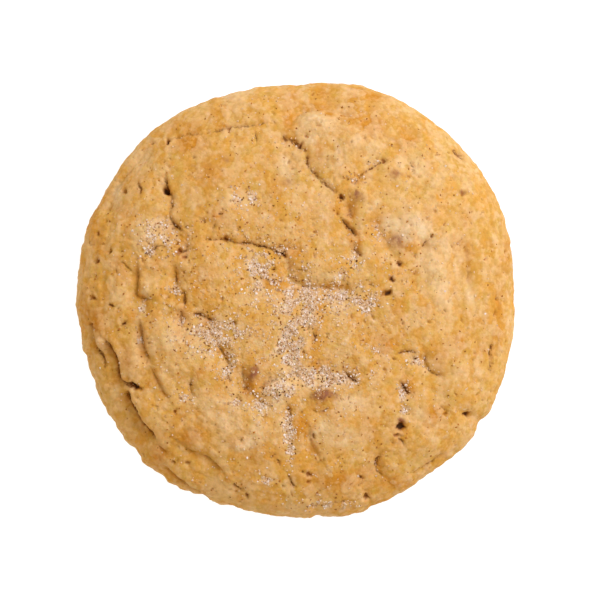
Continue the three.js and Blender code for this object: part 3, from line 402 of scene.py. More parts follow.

# Colours, 0 to 255: the dough's own in daylight, and painted shade and painted light where noted
DOUGH_GOLDEN = (206, 151, 65)
DOUGH_LIGHT = (213, 164, 86)
# Paler crust, partly painted light
DOUGH_PALE_AND_LIT = (232, 199, 156)
# Browner crust, partly painted shade
DOUGH_BROWNED_AND_SHADED = (196, 126, 28)
DOUGH_ORANGE = (215, 147, 46)
DOUGH_OLIVE = (198, 152, 58)
DOUGH_PEACH = (226, 181, 128)
# Painted shade in the low places of the crust's grain
DOUGH_HOLLOW_SHADE = (168, 110, 28)
DOUGH_GLAZE = (232, 194, 154)
# Browning and painted shade at the cracks' edges, and painted shade in the holes
CREVICE_BROWN_AND_SHADE = (148, 80, 12)
# Painted shadow line along the middle of a crack
CRACK_SHADOW_LINE = (118, 66, 16)
# The darkest painted shade, in the larger holes
DEEP_HOLE_SHADE = (56, 30, 8)
SUGAR_FILM = (230, 199, 166)
# Painted shade in the hollows under the sugar
SUGAR_GAP_SHADE = (166, 116, 72)
CHIP_SKIN = (148, 90, 60)
BASE_BROWN = (150, 92, 42)
CRUMB_LIGHT = (236, 192, 126)
CRUMB_DARK = (178, 122, 48)
# Painted shade in the ticks
TICK_SHADE = (152, 92, 28)
SUGAR_COLOURS = [(240, 222, 210), (226, 200, 182), (220, 184, 148), (214, 170, 120), (176, 130, 92)]
SPICE_COLOURS = [(190, 122, 54), (154, 94, 40), (92, 54, 24)]

# Noises of the dough's finish: size in millimetres, detail, roughness, a place of its own along the noise,
# the range of the noise that counts, and the range that it becomes
PATCHES = {
    "broad": (9, 3, 0.5, 1, (0.35, 0.68), (0, 1)),
    "orange": (2.4, 4, 0.55, 20, (0.4, 0.75), (0, 0.9)),
    "olive": (1.9, 4, 0.55, 21, (0.42, 0.75), (0, 0.9)),
    "peach": (1.6, 4, 0.55, 22, (0.42, 0.75), (0, 0.9)),
    "pale_and_lit": (2.5, 3, 0.5, 3, (0.3, 0.6), (0.6, 1)),
    "browned_and_shaded": (3, 3, 0.5, 2, (0.3, 0.6), (0.6, 1)),
    "blush": (3.5, 3, 0.6, 4, (0.35, 0.65), (0.2, 0.9)),
    "chip": (0.9, 3, 0.6, 6, (0.35, 0.6), (0.45, 1)),
    "ragged": (0.5, 2, 0.5, 11, (0.35, 0.65), (-0.8, 0.9)),
    "broken": (1.6, 2, 0.5, 12, (0.36, 0.55), (0.5, 0.95)),
    "scorched": (5, 4, 0.5, 8, (0.3, 0.6), (0.5, 1)),
    "gloss": (1.5, 3, 0.5, 9, (0.3, 0.7), (0.68, 0.9)),
}
MOTTLES = {"orange": DOUGH_ORANGE, "olive": DOUGH_OLIVE, "peach": DOUGH_PEACH}
# Pale and browned fields: partly the crust's own tone, partly painted light and painted shade
BAKED_AND_LIGHT_FIELDS = {"pale_and_lit": DOUGH_PALE_AND_LIT, "browned_and_shaded": DOUGH_BROWNED_AND_SHADED}

# Layers of colour, each by a field of the skin: the field, where the layer starts, where it is full, how much
# of it shows there, and its colour
PLATE_TINT_AND_SHADE_LAYERS = [
    ("tint", 0, 0.4, 0.45, DOUGH_PEACH), ("tint", 0, -0.4, 0.45, DOUGH_ORANGE),
    # painted shade in the low places of the crumb
    ("crumb", 0, -0.4, 0.5, DOUGH_HOLLOW_SHADE),
]
SUGAR_AND_SHADE_LAYERS = [
    # painted shade in the ticks and in the gaps under the sugar, and the sugar's own film
    ("tick", 0.1, 0.9, 0.7, TICK_SHADE), ("sugar", 0.05, 0.75, 1, SUGAR_FILM), ("gap", 0, 0.8, 0.4, SUGAR_GAP_SHADE),
]
# Browning and painted shade along the cracks
SEAM_BROWN_AND_SHADE_LAYERS = [("seam_brown_and_shade", 0.1, 0.9, 0.5, CREVICE_BROWN_AND_SHADE)]
# Painted shade in the holes
HOLE_SHADE_LAYERS = [("hole_shade", 0.15, 0.8, 0.8, CREVICE_BROWN_AND_SHADE), ("hole_shade", 0.6, 0.95, 0.9, DEEP_HOLE_SHADE)]

# Grains of the skin, and their shades: where a shade starts, where it is full, how much shows, and its colour
CRUMB_SIZE = 0.55
CRUMB_SHADES = [(0.5, 0.8, 0.2, CRUMB_LIGHT), (0.5, 0.2, 0.2, CRUMB_DARK)]
GRAIN_EDGE = 0.7  # how far a grain's edge is from its middle, in sizes

# Ranges of a field that count, and, where there are four values, the range that they become
GLAZE_DUSTED = (0, 0.8, 0.6, 1)
CHIP_BARE = (0.05, 0.85)
LINE_ACROSS = (1.7, 0.2)
LINE_SEAM = (0.1, 0.5)
GRIT_DUSTED = (0.1, 0.8, 0.7, 1.3)

GRIT_NOISE = (0.35, 3, 0.6, 10)  # size, detail, roughness, and a place of its own
GRIT_DEPTH = 0.05
MIX_COLOURS = (6, 7)  # places of a colour mix's colours and result among its sockets, as the names repeat
MIX_RESULT = 2
DOUGH_SURFACE = {
    "Specular IOR Level": 0.25, "Subsurface Weight": 0.3, "Subsurface Radius": (1.0, 0.5, 0.2),
    "Subsurface Scale": 0.4 * MM,
}
SUGAR_SURFACE = {"Roughness": 0.5, "Specular IOR Level": 0.3}
SPICE_SURFACE = {"Roughness": 0.9, "Specular IOR Level": 0.1}

# Stage: a glowing floor, a sky, and a key light with its direction in degrees and sizes in metres
FLOOR_REACH = 2000  # in millimetres
FLOOR_SURFACE = {
    "Base Color": (0.2, 0.2, 0.2, 1), "Roughness": 0.9,
    "Emission Color": (1, 1, 1, 1), "Emission Strength": 0.95,
}
SKY_COLOUR = (1.12, 0.985, 0.645, 1)
SKY_STRENGTH = 0.55
KEY_COLOUR = (0.87, 1.0, 1.275)
KEY_AZIMUTH = 40  # counted from +X towards +Y
KEY_ELEVATION = 48
KEY_DISTANCE = 1.2
KEY_SIZE = 0.7
KEY_POWER = 12.6

# The photograph's frame in pixels: its width, the cookie's width, and the cookie's middle across
FRAME_PIXELS = 600
COOKIE_PIXELS = 441
COOKIE_MIDDLE_PIXEL = 295.0
PIXEL_MM = DIAMETER / COOKIE_PIXELS
CAMERA_HEIGHT = 2.5  # in metres
SENSOR_WIDTH = 36  # in millimetres

# Seeds of the random draws and of each noise
SEED = 20
CRACK_SEED = 10
PIT_SEED = 20
OPENING_SEED = 30
CHIP_SEED = 30
PLATE_SEED = 40
GRAIN_SEED = 46
FIELD_SEED = 49
SPOT_SEED = 50
TICK_SEED = 51
BASE_SEED = 60
EDGE_SEED = 70
PLATE_WARP_SEED = 80
SPOT_WARP_SEED = 90
CLUMP_SEED = 95
SUGAR_ROUGH_SEED = 96
WRINKLE_SEED = 100

# Random numbers from -1 to 1 for the cells of space, and how a cell finds its row of them
RANDOM_TABLE_SIZE = 4096
RANDOM_TABLE = np.random.default_rng(SEED).uniform(-1, 1, (RANDOM_TABLE_SIZE, 3))
CELL_STRIDES = np.array([73856093, 19349663, 83492791], dtype=np.int64)
SEED_STRIDE = 40503
NOISE_GAIN = 1.6  # brings the noise to about -1 to 1
SCATTER = 0.45  # how far a scattered point lies from its cell's middle at most, in cells


def hump(distance, width):
    """1 at no distance, falling softly to nothing."""
    return np.exp(-((distance / width) ** 2))


def trench(distance, width):
    """1 within the width, falling steeply to nothing beyond it."""
    return np.exp(-((distance / width) ** 4))


def smoothstep(value, low, high):
    """0 up to the low value and 1 from the high one, with a soft rise between."""
    share = np.clip((value - low) / (high - low), 0, 1)
    return share * share * (3 - 2 * share)


def cell_rows(cell, seed):
    """A row of the random table for each cell of space."""
    mixed = np.bitwise_xor.reduce(cell * CELL_STRIDES, axis=-1)
    return (mixed + seed * SEED_STRIDE) % RANDOM_TABLE_SIZE


def smooth_noise(points, size, seed):
    """Noise of about -1 to 1 in soft blobs of the given size."""
    place = points / size
    cell = np.floor(place).astype(np.int64)
    part = place - cell
    ease = part * part * (3 - 2 * part)
    total = np.zeros(len(points))
    for corner in itertools.product((0, 1), repeat=3):
        gradient = RANDOM_TABLE[cell_rows(cell + corner, seed)]
        weight = np.prod(np.where(corner, ease, 1 - ease), axis=1)
        total += weight * np.sum(gradient * (part - corner), axis=1)
    return NOISE_GAIN * total


def scattered(points, size, seed):
    """Points scattered one to a cell, for each of the cells round the given points, and their table rows."""
    cell = np.floor(points / size).astype(np.int64)
    for step in itertools.product((-1, 0, 1), repeat=3):
        rows = cell_rows(cell + step, seed)
        yield (cell + step + 0.5 + SCATTER * RANDOM_TABLE[rows]) * size, rows


def nearest_two(points, size, seed):
    """Distances to the two nearest of scattered points, and a number from 0 to 1 for each."""
    first = np.full(len(points), np.inf)
    second = first.copy()
    number = np.zeros(len(points))
    other = number.copy()
    for centre, rows in scattered(points, size, seed):
        distance = np.linalg.norm(points - centre, axis=1)
        value = rows / RANDOM_TABLE_SIZE
        closest = distance < first
        closer = ~closest & (distance < second)
        second = np.where(closest, first, np.where(closer, distance, second))
        other = np.where(closest, number, np.where(closer, value, other))
        first = np.where(closest, distance, first)
        number = np.where(closest, value, number)
    return first, second, number, other


def round_spots(points, spacing, share, radii, seed):
    """Spots at a share of scattered points: 1 in their middle and 0 between them."""
    distance, _, number, _ = nearest_two(points, spacing, seed)
    least, more = radii
    return np.where(number < share, hump(distance, least + more * number / share), 0)


def ellipse_field(x, y, rows):
    """The strongest of soft ellipses at each point: x, y, half width, half height, strength."""
    field = np.zeros(len(x))
    for centre_x, centre_y, half_width, half_height, strength in rows:
        reach = ((x - centre_x) / half_width) ** 2 + ((y - centre_y) / half_height) ** 2
        field = np.maximum(field, strength * np.exp(-reach))
    return field


def wander(points, bends, seed):
    """The points, each pushed about a little by noise."""
    moved = points.copy()
    for layer, (size, reach) in enumerate(bends):
        for axis in range(3):
            moved[:, axis] += reach * smooth_noise(points, size, seed + 3 * layer + axis)
    return moved


def angle_from(angle, direction):
    """Angle from a direction in degrees, the short way round."""
    turn = angle - math.radians(direction)
    return np.arctan2(np.sin(turn), np.cos(turn))


def outline_radius(angle):
    """Radius of the widest outline in each direction."""
    radius = np.full(len(angle), float(OUTER_RADIUS))
    for lobes, swing, peak in OUTLINE_WAVES:
        radius += swing * np.cos(lobes * (angle - math.radians(peak)))
    for direction, deep, wide in OUTLINE_NICKS:
        radius -= deep * hump(angle_from(angle, direction), math.radians(wide))
    edge = OUTER_RADIUS * np.column_stack([np.cos(angle), np.sin(angle), np.zeros(len(angle))])
    direction, wide, extra = RAGGED_SIDE
    more = 1 + extra * hump(angle_from(angle, direction), math.radians(wide))
    for layer, (size, reach) in enumerate(RAGGED_EDGE):
        radius += more * reach * smooth_noise(edge, size, EDGE_SEED + layer)
    return radius


def smooth_line(path):
    """Evenly spaced points along a smooth curve through the path's points."""
    knots = np.array(path, dtype=float)
    ends = np.vstack([2 * knots[0] - knots[1], knots, 2 * knots[-1] - knots[-2]])
    points = []
    for k in range(len(knots) - 1):
        before, start, end, after = ends[k:k + 4]
        pieces = max(2, round(np.linalg.norm(end - start) / CURVE_SPACING))
        for u in np.arange(pieces) / pieces:
            pull = (end - before) * u + (2 * before - 5 * start + 4 * end - after) * u * u
            twist = (3 * start - before - 3 * end + after) * u ** 3
            points.append(start + 0.5 * (pull + twist))
    points.append(knots[-1])
    return np.array(points)


def nearest_on_line(x, y, line):
    """Distance from the line, whether the point is on its left, length along it, and the line's length."""
    starts = line[:-1]
    runs = line[1:] - starts
    lengths = np.linalg.norm(runs, axis=1)
    reach = np.concatenate([[0], np.cumsum(lengths)])
    to_x = x[:, None] - starts[:, 0]
    to_y = y[:, None] - starts[:, 1]
    share = np.clip((to_x * runs[:, 0] + to_y * runs[:, 1]) / lengths ** 2, 0, 1)
    distance = np.hypot(to_x - share * runs[:, 0], to_y - share * runs[:, 1])
    best = np.argmin(distance, axis=1)
    row = np.arange(len(x))
    left = runs[best, 0] * to_y[row, best] - runs[best, 1] * to_x[row, best] > 0
    along = reach[best] + share[row, best] * lengths[best]
    return distance[row, best], left, along, reach[-1]


def crack_rows():
    """Width, depth, sag, path, taper and the left side's run of sag, for each crack and crease."""
    for name, row in CRACKS.items():
        yield *row, CRACK_TAPER, STEP_RUN if name in STEPS else SAG_RUN_LEFT
    for path in CREASES:
        yield CREASE_WIDTH, CREASE_DEPTH, CREASE_SAG, path, CREASE_TAPER, SAG_RUN_LEFT


def crack_opening(along, from_end, number, width, taper):
    """How open a crack is along its path, down to nothing at its ends."""
    beat = np.column_stack([along, np.full(len(along), OPENING_STRIDE * number), np.zeros(len(along))])
    swing = OPENING_SWING * smooth_noise(beat, OPENING_SIZE, OPENING_SEED)
    opening = np.clip(OPENING_MIDDLE + swing, np.interp(width, *OPENING_LEAST), OPENING_MOST)
    return opening * smoothstep(from_end, -BLUNT_END, taper)


def crack_profile(distance, left, width, opening):
    """Share of its depth that a crack has across its path: a slot, with a soft shoulder on the right."""
    core = trench(distance, CORE_SHARE * width * (0.5 + 0.5 * opening))
    shoulder = np.where(left, core, hump(distance, SHOULDER_SPREAD * width))
    return (1 - SHOULDER_DEPTH) * core + SHOULDER_DEPTH * shoulder


def crack_relief(points):
    """Depth of the cracks and the sag of the crust beside them, how much browning and painted shade the crust
    gets there, and the distance from the nearest crack's middle line, in half widths of that line."""
    wandered = wander(points, CRACK_WANDER, CRACK_SEED)[:, :2]
    cut = np.zeros(len(points))
    sag = np.zeros(len(points))
    dark = np.zeros(len(points))
    line_distance = np.full(len(points), LINE_LIMIT)
    nearest = np.full(len(points), np.inf)
    for number, (width, depth, drop, path, taper, left_run) in enumerate(crack_rows()):
        line = smooth_line(path)
        low = line.min(0) - CRACK_REACH
        high = line.max(0) + CRACK_REACH
        near = np.flatnonzero(np.all((wandered > low) & (wandered < high), axis=1))
        distance, left, along, length = nearest_on_line(wandered[near, 0], wandered[near, 1], line)
        from_end = np.minimum(along, length - along)
        opening = crack_opening(along, from_end, number, width, taper)
        cut[near] = np.maximum(cut[near], opening * depth * crack_profile(distance, left, width, opening))
        # Painted shade and browning beside the crack, darker the deeper the crack is
        deep = min(1, depth / DARK_DEPTH)
        dark[near] = np.maximum(dark[near], opening * deep * hump(distance, SEAM_REACH))
        run = np.where(left, left_run, SAG_RUN_RIGHT)
        fall = smoothstep(from_end, *SAG_ENDS) * SAG_SCALE * drop * np.exp(-distance / run)
        sag[near] = np.maximum(sag[near], fall)
        scaled = np.minimum(distance / (LINE_SHARE * width), LINE_LIMIT)
        line_distance[near] = np.where(distance < nearest[near], scaled, line_distance[near])
        nearest[near] = np.minimum(nearest[near], distance)
    return -sag - cut, dark, line_distance


def pit_relief(points):
    """Height of the skin in holes and pores, and how much painted shade they get."""
    x, y, _ = wander(points, PIT_WANDER, PIT_SEED).T
    height = np.zeros(len(x))
    dark = np.zeros(len(x))
    draw = np.random.default_rng(SEED)
    pores = np.column_stack([sprinkled_places(draw, PORE_COUNT), draw.uniform(*PORE_RADII, PORE_COUNT)])
    for pit_x, pit_y, radius in [*PITS, *pores]:
        depth = trench(np.hypot(x - pit_x, y - pit_y), PIT_SPREAD * radius)
        height -= PIT_DEPTH_PER_RADIUS * radius * depth
        # Painted shade in the hole, darker the larger it is
        dark = np.maximum(dark, depth * min(1, radius / BLACK_PIT_RADIUS))
    return height, dark


def lump_relief(x, y):
    """Height of the low lumps."""
    height = np.zeros(len(x))
    for k in range(LUMP_COUNT):
        reach = OUTER_RADIUS * math.sqrt((k + 0.5) / LUMP_COUNT)
        angle = k * GOLDEN_ANGLE
        distance = np.hypot(x - reach * math.cos(angle), y - reach * math.sin(angle))
        height += LUMP_RISE * math.sin(k * LUMP_BEAT) * hump(distance, LUMP_RADIUS)
    return height


def roughness(points):
    """How rough the crust is, in broad fields."""
    rough = smoothstep(smooth_noise(points, FIELD_SIZE, FIELD_SEED), *FIELD_RANGE)
    return SMOOTHEST + (1 - SMOOTHEST) * rough


def crumb_relief(points):
    """Height of the crust's broken plates and their grain, and each plate's own number from -0.5 to 0.5."""
    moved = wander(points, PLATE_WARP, PLATE_WARP_SEED)
    height = np.zeros(len(points))
    for layer, (spacing, step, joint) in enumerate(PLATES):
        first, second, number, other = nearest_two(moved, spacing, PLATE_SEED + layer)
        gap = (second - first) / spacing
        share = 0.5 + 0.5 * smoothstep(gap, 0, PLATE_BEVEL)
        tint = share * number + (1 - share) * other - 0.5
        height += step * tint - joint * hump(gap, JOINT_WIDTH)
    for layer, (size, rise) in enumerate(CRUMB_GRAIN):
        height += rise * smooth_noise(points, size, GRAIN_SEED + layer)
    return height * roughness(points), tint


def ticks(points):
    """Short thin ellipses that point every way: 1 on their middle line and 0 between them."""
    spacing, half_length, half_width, _ = TICKS
    nearest = np.full(len(points), np.inf)
    for centre, rows in scattered(points, spacing, TICK_SEED):
        offset = points - centre
        heading = RANDOM_TABLE[rows - 1]
        heading = heading / np.linalg.norm(heading, axis=1)[:, None]
        along = np.sum(offset * heading, axis=1)
        across = np.sum(offset * offset, axis=1) - along ** 2
        nearest = np.minimum(nearest, (along / half_length) ** 2 + across / half_width ** 2)
    return np.exp(-nearest)


def wrinkle_relief(points):
    """Height of the wrinkles that run along the rim, from none in the middle."""
    x, y, z = points.T
    reach = np.hypot(x, y)
    safe = np.maximum(reach, TINY)
    height = np.zeros(len(points))
    for layer, (length, width, rise) in enumerate(WRINKLES):
        around = WRINKLE_FULL / length
        place = np.column_stack([around * x / safe, around * y / safe, (reach - z) / width])
        height += rise * smooth_noise(place, 1, WRINKLE_SEED + layer)
    return height * smoothstep(reach, WRINKLE_START, WRINKLE_FULL)


def sugar_clump(points):
    """1 in the clumps of sugar and 0 in the bare gaps between them."""
    return smoothstep(smooth_noise(points, CLUMP_SIZE, CLUMP_SEED), *CLUMP_RANGE)


def relief(points):
    """How far the skin stands out from the smooth form, and the fields of its crevices, spots and sugar, with
    the painted shade of its cracks, holes and hollows.
    """
    x, y = points[:, 0], points[:, 1]
    cracks, seam_brown_and_shade, line = crack_relief(points)
    pits, hole_shade = pit_relief(points)
    crumb, tint = crumb_relief(points)
    moved = wander(points, SPOT_WARP, SPOT_WARP_SEED)
    spacing, share, radius, glaze_rise = GLAZE_SPOTS
    glaze = round_spots(moved, spacing, share, [radius * part for part in SPOT_RADII], SPOT_SEED)
    tick = ticks(moved)
    *_, tick_depth = TICKS
    height = lump_relief(x, y) + cracks + pits + crumb + glaze_rise * glaze - tick_depth * tick
    height += wrinkle_relief(points)
    for mound_x, mound_y, half_width, half_height, rise in MOUNDS:
        reach = np.hypot((x - mound_x) / half_width, (y - mound_y) / half_height)
        height += MOUND_SCALE * rise * hump(reach, 1)
    furrow = ellipse_field(x, y, SUGAR)
    height -= FURROW_DEPTH * furrow
    sugar = furrow * sugar_clump(points)
    rough = smooth_noise(points, SUGAR_ROUGH_SIZE, SUGAR_ROUGH_SEED)
    height += SUGAR_ROUGH_RISE * sugar * rough
    # Painted shade in the low places of the rough crust under the sugar
    gap = sugar * smoothstep(-rough, *GAP_RANGE)
    return height, {
        "hole_shade": hole_shade, "seam_brown_and_shade": seam_brown_and_shade, "line": line, "crumb": crumb, "tint": tint,
        "glaze": glaze, "tick": tick, "sugar": sugar, "gap": gap,
    }


def profile(share, turn, rim_radius):
    """Radius and height of the smooth form: share runs from the middle of the top to the rim, and turn
    from the rim down to the foot."""
    crown = RIM_HEIGHT + RISE * (1 - share ** CROWN_SPREAD) ** (1 / SHOULDER_ROUNDNESS)
    height = np.where(turn > 0, RIM_HEIGHT * (1 - np.sin(turn)), crown)
    return share * rim_radius - FOOT_INSET * (1 - np.cos(turn)), height


def smooth_skin(angle, share, turn):
    """Points and outward directions of the smooth form."""
    radius, height = profile(share, turn, outline_radius(angle))
    flat = np.clip(1 - share ** CROWN_SPREAD, TINY, 1)
    steep = RISE / SHOULDER_ROUNDNESS * flat ** (1 / SHOULDER_ROUNDNESS - 1)
    fall = steep * CROWN_SPREAD * share ** (CROWN_SPREAD - 1) / OUTER_RADIUS
    outward = np.where(turn > 0, RIM_HEIGHT * np.cos(turn), fall)
    upward = np.where(turn > 0, -FOOT_INSET * np.sin(turn), 1.0)
    length = np.hypot(outward, upward)
    across = np.column_stack([np.cos(angle), np.sin(angle)])
    points = np.column_stack([across * radius[:, None], height])
    normals = np.column_stack([across * (outward / length)[:, None], upward / length])
    return points, normals


def dusting(x, y):
    """How thickly the top is dusted: 1 near its middle, falling softly to nothing."""
    return hump(np.hypot(x - DUST_MIDDLE[0], y - DUST_MIDDLE[1]), DUST_SPREAD)


def baked_skin(angle, share, turn):
    """Points of the real skin, its outward directions, and the fields that its finish needs."""
    points, normals = smooth_skin(angle, share, turn)
    height, fields = relief(points)
    fade = 1 - (1 - RIM_RELIEF) * smoothstep(share, RIM_FADE, 1)
    fade = fade * np.cos(turn)
    skin = points + normals * (fade * height)[:, None]
    skin[:, 2] = np.maximum(skin[:, 2], 0)
    x, y = points[:, 0], points[:, 1]
    # Darker towards the foot: partly browning, partly painted shade of the rim
    foot = FOOT_BROWNED_AND_SHADED * smoothstep(points[:, 2], *FOOT_HEIGHTS)
    fields |= {
        "browned_and_shaded": np.maximum(ellipse_field(x, y, BROWNED_AND_SHADED), foot),
        "pale_and_lit": ellipse_field(x, y, PALE_AND_LIT),
        "chip": ellipse_field(*wander(points, CHIP_WARP, CHIP_SEED)[:, :2].T, CHIPS),
        "dusted": dusting(x, y),
        "underside": np.zeros(len(x)),
    }
    return skin, normals, fields


def profile_rings():
    """Share and turn of each ring, evenly spaced along the profile from the middle to the foot."""
    share = np.concatenate([np.linspace(0, 1, PROFILE_SAMPLES), np.ones(PROFILE_SAMPLES)])
    turn = np.concatenate([np.zeros(PROFILE_SAMPLES), np.linspace(0, math.pi / 2, PROFILE_SAMPLES)])
    radius, height = profile(share, turn, OUTER_RADIUS)
    steps = np.hypot(np.diff(radius), np.diff(height))
    reach = np.concatenate([[0], np.cumsum(steps)])
    rings = round(reach[-1] / FINE_STEP)
    wanted = np.linspace(0, reach[-1], rings + 1)[1:]
    return np.interp(wanted, reach, share), np.interp(wanted, reach, turn)


def base_rings(foot):
    """Rings of the flat base, from inside the foot to near its middle, on coarser and coarser steps."""
    spacing, pore_share, pore_radius, pore_depth = BASE_PORES
    rings = []
    radius = float(np.hypot(foot[:, 0], foot[:, 1]).mean())
    step = FINE_STEP
    share = 1.0
    while share * radius > 2 * BASE_LARGEST_STEP:
        step = min(step * BASE_STEP_GROWTH, BASE_LARGEST_STEP)
        share -= step / radius
        count = round(FULL_TURN * share * radius / step)
        pick = np.round(np.arange(count) * len(foot) / count).astype(int) % len(foot)
        ring = foot[pick] * share
        ring[:, 2] = pore_depth * round_spots(ring, spacing, pore_share, (pore_radius, 0), BASE_SEED)
        rings.append(ring)
    return rings


def band_triangles(first, first_count, second, second_count):
    """Triangles between two neighbouring rings, whatever their counts."""
    marks = np.concatenate([(np.arange(first_count) + 1) / first_count,
                            (np.arange(second_count) + 1) / second_count])
    on_second = np.concatenate([np.zeros(first_count, int), np.ones(second_count, int)])
    order = np.argsort(marks, kind="stable")
    on_second = on_second[order]
    j = np.cumsum(on_second) - on_second
    i = np.cumsum(1 - on_second) - (1 - on_second)
    next_first = first + (i + 1) % first_count
    next_second = second + (j + 1) % second_count
    third = np.where(on_second == 1, next_second, next_first)
    return np.column_stack([first + i % first_count, second + j % second_count, third])


def fan_triangles(middle, start, count):
    """Triangles between a middle point and the ring round it."""
    ring = np.arange(count)
    return np.column_stack([np.full(count, middle), start + ring, start + (ring + 1) % count])


def mesh_object(name, points, faces, smooth=True):
    """A mesh object from points in millimetres."""
    mesh = bpy.data.meshes.new(name)
    mesh.from_pydata(np.asarray(points) * MM, [], np.asarray(faces).tolist())
    mesh.polygons.foreach_set("use_smooth", np.full(len(mesh.polygons), smooth))
    mesh.update()
    piece = bpy.data.objects.new(name, mesh)
    bpy.context.scene.collection.objects.link(piece)
    return piece


def set_field(mesh, name, values):
    """Gives each point of the mesh a value that a material can read."""
    attribute = mesh.attributes.new(name, "FLOAT", "POINT")
    attribute.data.foreach_set("value", np.asarray(values, dtype=np.float32))


def box_shift():
    """How far the smooth outline's box lies off the axis, so that the skin sits where the solid does."""
    angle = np.linspace(0, FULL_TURN, OUTLINE_SAMPLES)
    rim, _ = smooth_skin(angle, np.ones(len(angle)), np.zeros(len(angle)))
    middle = (rim.min(0) + rim.max(0)) / 2
    return np.array([-middle[0], -middle[1], 0])


def make_cookie(shift):
    """The closed crust: rings of the skin and the base, with one point in the middle of each."""
    shares, turns = profile_rings()
    counts = [max(FEWEST_POINTS, round(FULL_TURN * OUTER_RADIUS * share / FINE_STEP)) for share in shares]
    angle = np.concatenate([FULL_TURN * np.arange(count) / count for count in counts] + [[0.0]])
    share = np.concatenate([np.repeat(shares, counts), [0.0]])
    turn = np.concatenate([np.repeat(turns, counts), [0.0]])
    skin, _, fields = baked_skin(angle, share, turn)
    top_middle = len(skin) - 1
    base = base_rings(skin[top_middle - counts[-1]:top_middle])
    rings = list(zip(np.cumsum([0, *counts]), counts))
    total = len(skin)
    for inner in base:
        rings.append((total, len(inner)))
        total += len(inner)
    faces = [fan_triangles(top_middle, *rings[0])]
    faces += [band_triangles(*outer, *inner) for outer, inner in itertools.pairwise(rings)]
    faces.append(fan_triangles(total, *rings[-1])[:, [1, 0, 2]])
    points = np.vstack([skin, *base, np.zeros((1, 3))])
    piece = mesh_object("cookie_crust", points + shift, np.vstack(faces))
    for name, values in fields.items():
        fill = 1.0 if name == "underside" else 0.0
        set_field(piece.data, name, np.concatenate([values, np.full(len(points) - len(skin), fill)]))
    return piece


def linear(colour):
    """A colour of 0 to 255 as the linear values that a shader takes, by the sRGB rule."""
    values = np.array(colour) / 255
    low = values / 12.92
    high = ((values + 0.055) / 1.055) ** 2.4
    return (*np.where(values <= 0.04045, low, high), 1.0)


class Shader:
    """A node material, with short ways to add its nodes."""

    def __init__(self, name):
        self.material = bpy.data.materials.new(name)
        self.material.use_nodes = True
        self.tree = self.material.node_tree
        self.tree.nodes.clear()
        self.place = self.add("TexCoord", {}).outputs["Object"]

    def add(self, kind, inputs, **settings):
        """Adds a node with its settings, and sets each input to a value or joins it to a socket."""
        node = self.tree.nodes.new("ShaderNode" + kind)
        for name, value in settings.items():
            setattr(node, name, value)
        for name, value in inputs.items():
            if isinstance(value, bpy.types.NodeSocket):
                self.tree.links.new(value, node.inputs[name])
            else:
                node.inputs[name].default_value = value
        return node

    def finish(self, surface):
        """The material, with its surface's inputs."""
        shaded = self.add("BsdfPrincipled", surface).outputs["BSDF"]
        self.add("OutputMaterial", {"Surface": shaded})
        return self.material

    def field(self, name):
        """A field of the mesh."""
        return self.add("Attribute", {}, attribute_name=name).outputs["Fac"]

    def noise(self, size, detail, roughness, shift):
        """Noise in blobs of a size in millimetres, about 0.3 to 0.7."""
        look = {"Scale": 1 / (size * MM), "Detail": detail, "Roughness": roughness, "W": shift}
        return self.add("TexNoise", {"Vector": self.place, **look}, noise_dimensions="4D").outputs["Fac"]

    def patches(self, name):
        """One of the noises of the finish."""
        *noise, counted, becomes = PATCHES[name]
        return self.spread(self.noise(*noise), *counted, *becomes)

    def grains(self, size):
        """Packed grains of a size in millimetres: 1 in a grain's middle and 0 at its edge, and its shade."""
        node = self.add("TexVoronoi", {"Vector": self.place, "Scale": 1 / (size * MM)})
        return self.spread(node.outputs["Distance"], GRAIN_EDGE, 0), node.outputs["Color"]

    def spread(self, source, low, high, to_low=0, to_high=1):
        """Stretches a range of values softly onto another."""
        ranges = {"From Min": low, "From Max": high, "To Min": to_low, "To Max": to_high}
        node = self.add("MapRange", {"Value": source, **ranges}, interpolation_type="SMOOTHSTEP")
        return node.outputs["Result"]

    def times(self, first, second):
        return self.add("Math", {0: first, 1: second}, operation="MULTIPLY").outputs["Value"]

    def plus(self, first, second):
        return self.add("Math", {0: first, 1: second}, operation="ADD").outputs["Value"]

    def mix(self, share, first, second):
        """Goes from the first colour to the second by a share."""
        colours = [linear(colour) if isinstance(colour, tuple) else colour for colour in (first, second)]
        node = self.add("Mix", {"Factor": share, **dict(zip(MIX_COLOURS, colours))}, data_type="RGBA")
        return node.outputs[MIX_RESULT]

    def layers(self, colour, rows):
        """Lays colours over a colour, each by a field of the mesh."""
        for name, start, full, most, tint in rows:
            colour = self.mix(self.spread(self.field(name), start, full, 0, most), colour, tint)
        return colour

    def ramp(self, source, colours):
        """Goes evenly through a row of colours as the source goes from 0 to 1."""
        node = self.add("ValToRGB", {"Fac": source})
        stops = node.color_ramp.elements
        while len(stops) < len(colours):
            stops.new(0.5)
        for k, colour in enumerate(colours):
            stops[k].position = k / (len(colours) - 1)
            stops[k].color = linear(colour)
        return node.outputs["Color"]


def crust_colour(shader):
    """Mottled dough, paler and browner in fields, partly painted light and painted shade, and from plate to
    plate, with painted shade in the crumb's low places and spots of glaze.
    """
    colour = shader.mix(shader.patches("broad"), DOUGH_GOLDEN, DOUGH_LIGHT)
    for name, tint in MOTTLES.items():
        colour = shader.mix(shader.patches(name), colour, tint)
    # Pale and browned fields: partly the crust's own tone, partly painted light and painted shade
    for name, tint in BAKED_AND_LIGHT_FIELDS.items():
        colour = shader.mix(shader.times(shader.field(name), shader.patches(name)), colour, tint)
    # Plate tints, and painted shade in the crumb's low places
    colour = shader.layers(colour, PLATE_TINT_AND_SHADE_LAYERS)
    blush = shader.times(shader.patches("blush"), shader.spread(shader.field("dusted"), *GLAZE_DUSTED))
    return shader.mix(shader.times(shader.field("glaze"), blush), colour, DOUGH_GLAZE)


